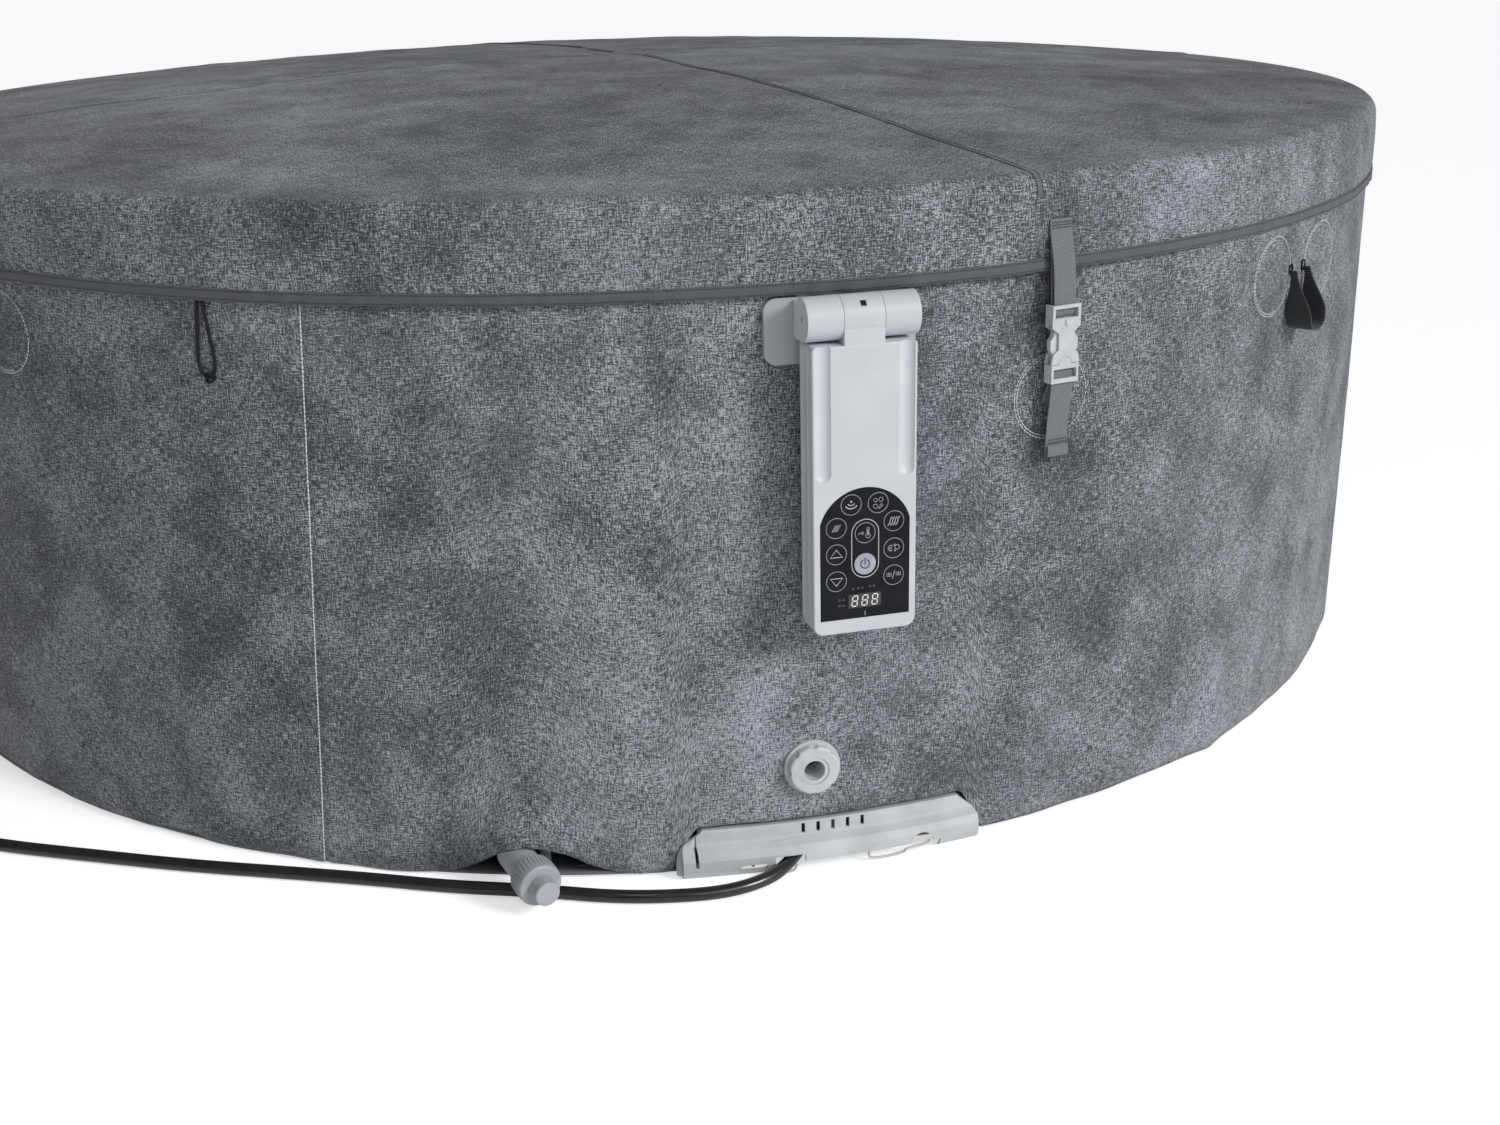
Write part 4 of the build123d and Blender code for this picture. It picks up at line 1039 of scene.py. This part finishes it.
def lid_at(az, share, proud=0.0):
    """A place on the lid: its hem at share 0, its rounded edge from 1 to 2, and its middle at 3."""
    edge_low = dome_z(LID_R - LID_EDGE_R) - LID_EDGE_R
    if share <= 1:
        z = HEM_LOW + 3 + hem_sag(az) * (1 - share) + (edge_low - HEM_LOW - 3) * share
        return on_wall(az, 0, LID_R - WALL_R + skirt_out(az, z) * (1 - share ** 6) + proud, z)
    slope = math.radians(6.1)
    if share <= 2:
        turn = (math.pi / 2 - slope) * (share - 1)
        r = LID_R - LID_EDGE_R + (LID_EDGE_R + proud) * math.cos(turn)
        return on_wall(az, 0, r - WALL_R, edge_low + (LID_EDGE_R + proud) * math.sin(turn))
    edge_r = LID_R - LID_EDGE_R * (1 - math.sin(slope))
    r = edge_r * (3 - share) ** 0.8
    c, s = math.cos(math.radians(az)), math.sin(math.radians(az))
    ripple = 3.0 * noise.noise(Vector((r * c / 210, r * s / 210, 3))) + 1.1 * noise.noise(
        Vector((r * c / 70, r * s / 70, 11)))
    pull = 1.6 * noise.noise(Vector((22 * c, 22 * s, r / 300))) * ease((r - 760) / 200)
    settle = ease((share - 2) * 8)
    edge_z = edge_low + LID_EDGE_R * math.cos(slope)
    z = dome_z(r) - dome_z(edge_r) + edge_z + (ripple + pull - 1.5) * settle + proud
    return on_wall(az, 0, r - WALL_R, z)


def lid_sheet(first, last, rows):
    """The points of a band of the lid from one share to another."""
    return [lid_at(360 * column / LID_COLUMNS, first + (last - first) * row / rows)
            for row in range(rows + 1) for column in range(LID_COLUMNS)]


def lid_rows(first, last, rows):
    """The length up the cloth of each row of a band, in metres."""
    lengths, at, before = [], 0.0, None
    for row in range(rows + 1):
        place = lid_at(5, first + (last - first) * row / rows)
        at += (place - before).length if before else 0
        before = place
        lengths.append(at + first * 0.09)
    return lengths


def top_print(face, corner):
    """Lays the print flat over the top, in metres."""
    place = top_points[face[corner]]
    return place.x, place.y


lid_cloth = printed_cloth("lid_cloth", 1.02)
skirt_points = lid_sheet(0, 1.5, SKIRT_ROWS + EDGE_ROWS)
skirt = made("skirt_cloth", skirt_points, quads(SKIRT_ROWS + EDGE_ROWS + 1, LID_COLUMNS, True), lid_cloth,
             "lid", "grey_cloth", uv=round_cloth(lid_rows(0, 1.5, SKIRT_ROWS + EDGE_ROWS), LID_COLUMNS))
top_points = lid_sheet(1.5, 3, DOME_ROWS)
top_faces = quads(DOME_ROWS + 1, LID_COLUMNS, True)
top_cloth = made("top_cloth", top_points, top_faces, lid_cloth, "lid", "grey_cloth", uv=top_print)
for sheet, node in ((skirt, "lid_skirt"), (top_cloth, "lid_top")):
    thickened(sheet, CLOTH_T, rim=False)
    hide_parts(node)

hem_tape = strap_finish("hem_tape", (0.062, 0.067, 0.078), (0.135, 0.145, 0.165), 6000)
hem_points, hem_up = [], []
HEM_SECTION = [(0.35, 12.4), (1.15, 12.0), (1.35, 9), (1.45, 6.2), (1.35, 3.2), (1.1, 0.9), (0.2, 0.1),
               (-1.4, 0.0), (-2.6, 0.8), (-2.9, 4), (-2.9, 9), (-2.6, 12.2)]
for out, up in HEM_SECTION:
    for column in range(LID_COLUMNS):
        az = 360 * column / LID_COLUMNS
        crinkle = 0.25 * noise.noise(Vector((az * 1.9, up / 9, 2)))
        z = HEM_LOW + up + hem_sag(az)
        hem_points.append(on_wall(az, 0, LID_R - WALL_R + skirt_out(az, HEM_LOW + up) + out + crinkle, z))
    hem_up.append(up * MM)
hem_faces = [tuple(reversed(f)) for f in quads(len(HEM_SECTION), LID_COLUMNS, True)]
skirt_hem = made("skirt_hem", hem_points, hem_faces, hem_tape, "lid", "hem_tape")
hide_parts("lid_hem")
hem_rows = []
for up in (10.6, 2.2):
    hem_rows.append([(on_wall(az, 0, LID_R - WALL_R + skirt_out(az, HEM_LOW + up) + 1.45,
                              HEM_LOW + up + hem_sag(az)), facing(az))
                     for az in (360 * k / 720 for k in range(720))])
hem_stitches = made("hem_stitches", *joined(stitches(line, 3.8, 4.4, 0.85, True) for line in hem_rows),
                    dark_thread, "lid", "hem_tape")

fell_parts, fell_rows = [], []
for station in STATIONS:
    shares = [0.5 + 0.5 * k / 12 for k in range(12)] + [1 + k / 12 for k in range(12)] + [
        2 + 0.985 * k / 110 for k in range(111)]
    strip = []
    for share in shares:
        middle = lid_at(station - FELL_TURN, share)
        before, after = (lid_at(station - FELL_TURN, share + step) for step in (-0.004, 0.004))
        along = (after - before).normalized()
        side = facing(station - FELL_TURN).cross(Vector((0, 0, 1))).normalized()
        up = side.cross(along).normalized()
        strip.append((middle, side, up if up.z > 0 or up.dot(facing(station)) > 0 else -up))
    points = []
    for middle, side, up in strip:
        points += [middle + side * x * MM + up * h * MM for x, h in
                   ((-FELL_W / 2, -0.4), (-FELL_W / 2 + 0.5, FELL_T), (-3, FELL_T - 0.25), (0, FELL_T + 0.1),
                    (3, FELL_T - 0.25), (FELL_W / 2 - 0.5, FELL_T), (FELL_W / 2, -0.4))]
    fell_parts.append((points, quads(len(strip), 7)))
    for x in (-3, 3):
        fell_rows.append([(middle + side * x * MM + up * (FELL_T - 0.2) * MM, up)
                          for middle, side, up in strip])
felled_seams = made("felled_seams", *joined(fell_parts), lid_cloth, "lid", "grey_cloth", 40)
seam_stitches = made("felled_seam_stitches", *joined(stitches(row, 3.8, 4.6, 1.0) for row in fell_rows),
                     dark_thread, "lid", "grey_cloth")


# ---- Lid: air pad and lining ----
# A flat inflatable pad of vinyl sits between the top and a lining of silver foil cloth, so
# that rain runs off and heat stays in. The pad's two skins are welded together in rings.
PAD_RINGS = 44
PAD_PARTS = 180
PAD_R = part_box("lid_bladder")[1].x * 1000
PAD_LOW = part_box("lid_bladder")[0].z * 1000
PAD_CLEAR = 10
LINING_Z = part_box("lid_lining")[0].z * 1000
LINING_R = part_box("lid_lining")[1].x * 1000
LINING_IN = 8
QUILT = 120


def pad_at(share, turn, z):
    """A place on the pad, a share of the way out from its middle."""
    return MM * Vector(((PAD_R - 4) * share * math.sin(turn), -(PAD_R - 4) * share * math.cos(turn), z))


pad_points = []
for ring in range(PAD_RINGS + 1):
    share = max(0.002, ring / PAD_RINGS)
    for part in range(PAD_PARTS):
        turn = 2 * math.pi * part / PAD_PARTS
        weld = 3.5 * (1 - abs(math.sin(6 * turn)) ** 0.4) * ease(share * 6)
        weld += 3.0 * abs(math.cos(math.pi * 4 * share))
        full = dome_z(PAD_R * share) - PAD_CLEAR - weld - PAD_LOW
        z = PAD_LOW + max(0.4, full) * math.sqrt(max(0, 1 - share ** 9))
        pad_points.append(pad_at(share, turn, z))
for ring in range(PAD_RINGS, -1, -1):
    share = max(0.002, ring / PAD_RINGS) * 0.995
    for part in range(PAD_PARTS):
        turn = 2 * math.pi * part / PAD_PARTS
        pad_points.append(pad_at(share, turn, PAD_LOW + 0.2))
pad_faces = [tuple(reversed(f)) for f in quads(2 * PAD_RINGS + 2, PAD_PARTS, True)]
lid_pad = made("lid_air_pad", pad_points, pad_faces, vinyl, "lid", "tub_vinyl")
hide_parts("lid_bladder")

foil = Finish("lining_foil", (0.72, 0.73, 0.75), metallic=0.75, roughness=0.32)
foil_place = foil.coords("Object")
crinkles = foil.noise(foil_place, 45, 6, 0.7)
foil.gives("Base Color", foil.shades(crinkles, (0.3, (0.55, 0.56, 0.58)), (0.7, (0.80, 0.81, 0.83))))
foil.gives("Roughness", 0.22 + 0.35 * foil.noise(foil_place, 90, 4))
foil.relief(crinkles, 0.002, 0.6)
lining_points = []
for x, y, r in disc_places(LINING_R - LINING_IN, FLOOR_RINGS, FLOOR_PARTS):
    quilt = 2.4 * (abs(math.sin(math.pi * x / QUILT)) * abs(math.sin(math.pi * y / QUILT))) ** 0.5
    low = 0.4 - quilt * ease((810 - r) / 60)
    lining_points.append(MM * Vector((x, y, LINING_Z + low)))
lining_faces = [tuple(reversed(f)) for f in quads(FLOOR_RINGS + 1, FLOOR_PARTS, True)]
foil_lining = made("foil_lining", lining_points, lining_faces, foil, "lid", "lining_foil")
thickened(foil_lining, 0.8)
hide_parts("lid_lining")


# ---- Straps and buckles ----
# At four places a grey strap sewn to the lid holds a side-release buckle's socket, and a strap
# sewn to the wall through a patch holds its plug, which two springy arms lock.
WEBBING_W = 26
WEBBING_T = 1.5
LID_STRAP = [(7.6, 653), (8.4, 640), (16, 612), (18.6, 580), (19, 563.4), (17.6, 559.4), (15.2, 559.4),
             (13.9, 563.4), (13.9, 572), (12.6, 600), (9.6, 632)]
WALL_STRAP = [(3.2, 470), (7.2, 480), (13.6, 490), (13.9, 501), (15.2, 505.6), (17.6, 505.6), (19, 501),
              (18.8, 490), (15.5, 465), (13.6, 447), (12.2, 428), (12.4, 417)]
TAIL_FOLD = [(12.8, 426), (13.4, 416.5), (15.2, 415.4), (16.6, 419), (15.6, 427.5)]
BARTACKS_LID = (644.5, 647.2, 649.9)
BARTACKS_WALL = (429.5, 432.5)

grey_webbing = strap_finish("grey_webbing", (0.085, 0.092, 0.105), (0.27, 0.285, 0.31))
lid_strap_parts, wall_strap_parts, tack_parts, wall_tack_parts = [], [], [], []
for az in STATIONS:
    across = facing(az).cross(Vector((0, 0, 1)))
    for line, wide, parts in ((LID_STRAP, WEBBING_W, lid_strap_parts),
                              (WALL_STRAP, WEBBING_W, wall_strap_parts),
                              (TAIL_FOLD, WEBBING_W - 1, wall_strap_parts)):
        bent = cut_corners([on_wall(az, 0, w, z) for w, z in line], 2)
        parts.append(webbing(bent, across, wide, WEBBING_T, 0.05, 1.9, 0.95))
    for z in BARTACKS_LID:
        row = [(on_wall(az, -11.5 + 23 * k / 8, 9.0 - (z - 644.5) * 0.02, z), facing(az)) for k in range(9)]
        tack_parts.append(stitches(row, 3.0, 3.4, 1.1))
    for z in BARTACKS_WALL:
        row = [(on_wall(az, -11.5 + 23 * k / 8, 13.6, z), facing(az)) for k in range(9)]
        wall_tack_parts.append(stitches(row, 3.0, 3.4, 1.0))
lid_webbing = made("lid_webbing", *joined(lid_strap_parts), grey_webbing, "lid", "webbing", 50)
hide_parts("lid_straps")
wall_webbing = made("wall_webbing", *joined(wall_strap_parts), grey_webbing, "tub", "webbing", 50)
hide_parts("wall_straps")
made("lid_strap_tacks", *joined(tack_parts), dark_thread, "lid", "webbing")
made("wall_strap_tacks", *joined(wall_tack_parts), dark_thread, "tub", "webbing")

buckle_plastic = moulded("buckle_plastic", (0.58, 0.6, 0.63), [(0.55, 0.575, 0.605), (0.66, 0.685, 0.71)],
                         60, (0.3, 0.2, 120), 1600, 0.7, 0.38)
dressed(["buckle_sockets", "buckle_plugs"], buckle_plastic)
dressed([f"buckle_arm_{n}_{side}" for n in (1, 2, 3, 4) for side in ("left", "right")], buckle_plastic)
rib_parts = []
for az in STATIONS:
    for z in (548.5, 546.2):
        line = [on_wall(az, x, 23.1, z) for x in (-6.6, -5.8, 5.8, 6.6)]
        rib_parts.append(bar_along(line, [0.15 * MM, 0.45 * MM, 0.45 * MM, 0.15 * MM], 8))
    arch = [on_wall(az, 7.6 * math.cos(t), 23.0, 512 + 7.6 * math.sin(t)) for t in
            [math.pi * k / 24 for k in range(25)]]
    rib_parts.append(bar_along(arch, 0.55 * MM, 8))
    tab = [on_wall(az, x, 22.6, z) for x, z in ((0, 556.5), (0, 552), (0, 550))]
    rib_parts.append(bar_along(tab, [2.6 * MM, 2.2 * MM, 1.4 * MM], 8))
made("buckle_socket_beads", *joined(rib_parts), buckle_plastic, "lid", "buckle_plastic")


# ---- Hanger bracket and controller ----
# The hand controller is a pale two-part moulding with a charcoal keypad film. It is hinged on
# a steel pin between the two barrels of a bracket that hooks over the rim under the lid.
CONTROL_HALF = 51.75
CONTROL_FACE = 52.2

control_plastic = moulded("controller_plastic", (0.66, 0.68, 0.72),
                          [(0.64, 0.665, 0.705), (0.715, 0.735, 0.77)], 18, (0.33, 0.18, 80), 1500, 0.7, 0.4)
dressed(["controller_back", "controller_front"], control_plastic)
bracket_plastic = Finish("bracket_plastic", (0.5, 0.52, 0.55), roughness=0.42)
bracket_place = bracket_plastic.coords("Object")
bracket_flat = bracket_plastic.scaled(bracket_place, 1, 1, 0)
bracket_r = bracket_plastic.node("VectorMath", {"operation": "LENGTH"}, {"Vector": bracket_flat}, "Value")
bracket_tone = (bracket_r - 1.0276) * 180 + 0.1 * bracket_plastic.noise(bracket_place, 20, 4, 0.6)
bracket_plastic.gives("Base Color", bracket_plastic.shades(bracket_tone, (0.1, (0.44, 0.455, 0.485)),
                                                           (0.5, (0.655, 0.68, 0.72))))
bracket_plastic.uneven_gloss(0.35, 0.18, 80)
bracket_plastic.grain(1500, 0.00006, 0.7)
dressed(["hanger_bracket"], bracket_plastic)

groove_dark = Finish("parting_shadow", (0.01, 0.01, 0.012), roughness=0.9)
groove_dark.grain(700, 0.0001, 0.4)
ridges = []
for side in (-1, 1):
    for w, low, high in ((18.5, 292, 556), (22.8, 292, 556), (38, 300, 558)):
        line = [on_wall(CONTROL_AZ, side * (CONTROL_HALF + 0.05), w, z)
                for z in (low, low + 3, (low + high) / 2, high - 3, high)]
        ridges.append(bar_along(line, [0.2 * MM, 0.5 * MM, 0.5 * MM, 0.5 * MM, 0.2 * MM], 6))
made("controller_side_ridges", *joined(ridges[2::3]), control_plastic, "controller", "controller_plastic")
made("controller_grip_ridges", *joined(ridges[0::3] + ridges[1::3]), control_plastic, "controller",
     "controller_plastic")
screws = []
for x, z in ((-38, 290), (38, 290), (-38, 540), (38, 540)):
    head = [on_wall(CONTROL_AZ, x + 3.6 * math.cos(t), 11.9, z + 3.6 * math.sin(t))
            for t in full_turn(24)]
    screws.append(bar_along(head, 0.5 * MM, 6, True))
    for turn in (0.4, 0.4 + math.pi / 2):
        slot_line = [on_wall(CONTROL_AZ, x + d * math.cos(turn), 11.85, z + d * math.sin(turn))
                     for d in (-2.6, 0, 2.6)]
        screws.append(bar_along(slot_line, 0.35 * MM, 6))
made("controller_back_screws", *joined(screws), steel, "controller", "heater_steel")

pocket = [on_wall(CONTROL_AZ, x, 45.3 - (z - 597.3) * 0.3, z) for z in (597.3, 601.7) for x in (-2.7, 2.7)]
made("tongue_pocket_shadow", pocket, [(0, 1, 3, 2)], groove_dark, "controller", "controller_plastic")

keypad = mottled("keypad_film", (0.022, 0.021, 0.027), [(0.011, 0.0105, 0.014), (0.021, 0.020, 0.026)],
                 40, 4, 0.6, (0.3, 0.75), roughness=0.4, specular_ior_level=0.12)
keypad.uneven_gloss(0.26, 0.2, 110, 3)
keypad.grain(1800, 0.00004, 0.6)
KEYS = {
    "wireless_key": (-14, 408), "bubble_key": (13, 407.5), "filter_key": (-29, 386), "up_key": (-29, 359.5),
    "down_key": (-29, 332), "heat_key": (29, 387.5), "ozone_key": (29, 360), "jet_key": (29, 332.4),
    "timer_key": (0, 378.6), "power_key": (0, 347),
}
dressed(["keypad_film"] + [name for name in KEYS if name != "power_key"], keypad)
silver = mottled("power_key_silver", (0.42, 0.44, 0.52), [(0.36, 0.38, 0.46), (0.50, 0.52, 0.60)], 90, 3,
                 roughness=0.34)
silver.grain(1700, 0.00005, 0.5)
dressed(["power_key"], silver)
window = mottled("display_window", (0.03, 0.03, 0.036), [grey(0.02), grey(0.05)], 70, 3, roughness=0.12,
                 coat_weight=0.6)
window.grain(500, 0.00003, 0.3)
dressed(["display_module"], window)
card = Finish("circuit_board", (0.02, 0.12, 0.05), roughness=0.4)
card_tracks = card.noise(card.scaled(card.coords("Object"), 1, 1, 0.2), 260, 2, 0.6)
card.gives("Base Color", card.shades(card_tracks, (0.48, (0.014, 0.09, 0.04)), (0.52, (0.03, 0.2, 0.09))))
card.relief(card_tracks, 0.0001, 0.5)
dressed(["controller_board"], card)


# ---- Printing on the keypad ----
# Thin pale ink on the film and the keys: a ring round each key, a plain picture of what it
# does, a long outline round the two middle keys, and a lit three-figure display.
INK_T = 0.22
RING_R = 10.1
STADIUM_HALF = 13.6
KEY_MIDDLE = (347, 378.6)
DIGIT_W = 5.2
DIGIT_H = 10.4
DIGIT_LEAN = 0.14
DIGIT_Z = 309.5

ink = mottled("pale_ink", (0.72, 0.74, 0.78), [(0.46, 0.48, 0.52), (0.66, 0.68, 0.73)], 800, roughness=0.5)
ink.grain(2200, 0.00003, 0.4)
faint_ink = mottled("faint_ink", (0.12, 0.12, 0.135), [grey(0.08), grey(0.17)], 800, roughness=0.5)
dark_ink = mottled("dark_ink", (0.02, 0.02, 0.026), [grey(0.014), grey(0.035)], 800, roughness=0.5)


def stroke(line, wide, closed=False):
    """A flat printed line through (x, z) places on the controller's face, in mm."""
    count = len(line)
    points = []
    for k, (x, z) in enumerate(line):
        ax, az = line[k - 1] if k or closed else line[k]
        bx, bz = line[(k + 1) % count] if k < count - 1 or closed else line[k]
        long = math.hypot(bx - ax, bz - az) or 1
        nx, nz = -(bz - az) / long * wide / 2, (bx - ax) / long * wide / 2
        for sx, lift in ((1, 0), (0.9, INK_T), (-0.9, INK_T), (-1, 0)):
            points.append(on_wall(CONTROL_AZ, x + nx * sx, CONTROL_FACE + lift, z + nz * sx))
    faces = quads(count, 4)
    if closed:
        faces += [((count - 1) * 4 + c, (count - 1) * 4 + c + 1, c + 1, c) for c in range(3)]
    return points, faces


def arc(x, z, r, start, end, steps=28):
    """Places along part of a circle, its angles in degrees."""
    return [(x + r * math.cos(math.radians(start + (end - start) * k / steps)),
             z + r * math.sin(math.radians(start + (end - start) * k / steps))) for k in range(steps + 1)]


def ring(x, z, r, wide):
    return stroke(arc(x, z, r, 0, 360, 40)[:-1], wide, True)


def wavy(x, z, high, lean, swing):
    """A rising wavy line, as drawn for heat."""
    return [(x + lean * (k / 12 - 0.5) + swing * math.sin(2 * math.pi * k / 12), z + high * (k / 12 - 0.5))
            for k in range(13)]


def swirl(x, z, size):
    """A small square with a curl in it, as drawn for a water jet."""
    box = [(x + size * a, z + size * b) for a, b in ((-1, 0.8), (-1, -0.8), (1, -0.8), (1, 0.8))]
    return [stroke(box, 0.45), stroke(arc(x - 0.2, z + 0.4, size * 0.5, 200, 500, 16), 0.45),
            stroke([(x, z + size * 0.9), (x, z - 0.2)], 0.4)]


def picture(name, x, z):
    """The plain picture of what a key does."""
    if name == "wireless_key":
        return [ring(x, z + 3.2, 0.6, 0.9), stroke(arc(x, z + 3.6, 4.2, 215, 325), 0.9),
                stroke(arc(x, z + 3.6, 7.4, 218, 322), 1.0)]
    if name == "bubble_key":
        bubbles = ((-2.7, 2.7, 1.7), (2.9, 3.0, 2.1), (-2.6, -3.4, 2.1), (3.2, -2.8, 1.3), (1.2, -5.2, 0.7))
        return [ring(x + dx, z + dz, r, 0.4) for dx, dz, r in bubbles]
    if name == "heat_key":
        return [stroke(wavy(x + dx, z, 8.4, 4.8, 0.7), 0.8) for dx in (-3.9, -1.3, 1.3, 3.9)]
    if name == "filter_key":
        return [stroke([(x - 4.4 + d, z - 3.4), (x - 0.4 + d, z + 3.4)], 0.5) for d in (0, 1.6, 3.2, 4.8)]
    if name == "up_key":
        return [stroke([(x - 6.2, z - 3.0), (x + 6.2, z - 3.0), (x, z + 4.6)], 1.1, True)]
    if name == "down_key":
        return [stroke([(x - 6.2, z + 3.0), (x, z - 4.6), (x + 6.2, z + 3.0)], 1.1, True)]
    if name == "ozone_key":
        return [stroke(arc(x - 3, z, 2.7, 50, 310), 0.6), ring(x - 3.4, z, 1.0, 0.4),
                ring(x + 3.4, z + 0.6, 2.3, 0.45), ring(x + 0.9, z + 3.2, 0.8, 0.4),
                ring(x + 1.4, z - 2.4, 0.9, 0.4)]
    if name == "jet_key":
        return [*swirl(x - 4.6, z + 0.6, 2.2), *swirl(x + 4.8, z + 1.0, 2.2),
                stroke([(x - 1.1, z - 4), (x + 1.1, z + 4.4)], 0.6)]
    if name == "timer_key":
        return [stroke([(x - 7, z - 1.4), (x - 4.6, z + 1.0)], 0.55), ring(x - 2.6, z - 0.2, 1.2, 0.45),
                stroke([(x + 1.8, z - 1.2), (x + 1.8, z + 5.2), (x + 3.8, z + 5.2), (x + 3.8, z - 1.2)], 0.5),
                ring(x + 2.8, z - 3.2, 2.3, 0.5), stroke([(x + 2.8, z - 3), (x + 2.8, z + 2.4)], 0.7)]
    return [stroke(arc(x, z, 4.4, 118, 422), 1.0), stroke([(x, z - 0.6), (x, z + 6.2)], 1.0)]


for name, (x, z) in KEYS.items():
    dark = name == "power_key"
    marks = picture(name, x, z) if dark else [ring(x, z, RING_R, 0.42)] + picture(name, x, z)
    made(name + "_print", *joined(marks), dark_ink if dark else ink, name, "keypad_gloss")
stadium = arc(0, KEY_MIDDLE[1], STADIUM_HALF, 0, 180, 24) + arc(0, KEY_MIDDLE[0], STADIUM_HALF, 180, 360, 24)
film_marks = [stroke(stadium, 0.85, True), stroke([(0, 294), (0, 298.5)], 0.7)]
made("keypad_outline_print", *joined(film_marks), ink, "controller", "keypad_gloss")
faint_marks = []
for x, z in ((-26, 312), (-22, 312), (-26, 306), (-22, 305.6), (-12, 322), (-7, 322.4), (-3, 322.4),
             (5, 323), (9, 323)):
    faint_marks.append(stroke([(x - 1.5, z), (x + 1.5, z)], 0.7))
    faint_marks.append(stroke([(x - 1.2, z + 1.4), (x + 1.2, z + 1.4)], 0.4))
made("keypad_faint_print", *joined(faint_marks), faint_ink, "controller", "keypad_gloss")

lit = mottled("lit_segments", (0.75, 0.77, 0.78), [(0.68, 0.70, 0.70), (0.86, 0.88, 0.88)], 600,
              roughness=0.4)
lit.gives("Emission Color", (0.86, 0.90, 0.9, 1))
lit.gives("Emission Strength", 0.25)
segments = []
half_w, half_h = DIGIT_W / 2, DIGIT_H / 2
for digit in (-1, 0, 1):
    bars = [((-half_w + 0.6, s * half_h), (half_w - 0.6, s * half_h)) for s in (-1, 0, 1)]
    bars += [((s * half_w, t * half_h + 0.6), (s * half_w, (t + 1) * half_h - 0.6))
             for s in (-1, 1) for t in (-1, 0)]
    for (ax, az), (bx, bz) in bars:
        line = [(digit * 10.2 + x + DIGIT_LEAN * z, DIGIT_Z + z)
                for x, z in ((ax, az), ((ax + bx) / 2, (az + bz) / 2), (bx, bz))]
        points, faces = stroke(line, 1.05)
        segments.append(([p - facing(CONTROL_AZ) * 0.62 * MM for p in points], faces))
made("display_figures", *joined(segments), lit, "controller", "display_gloss")
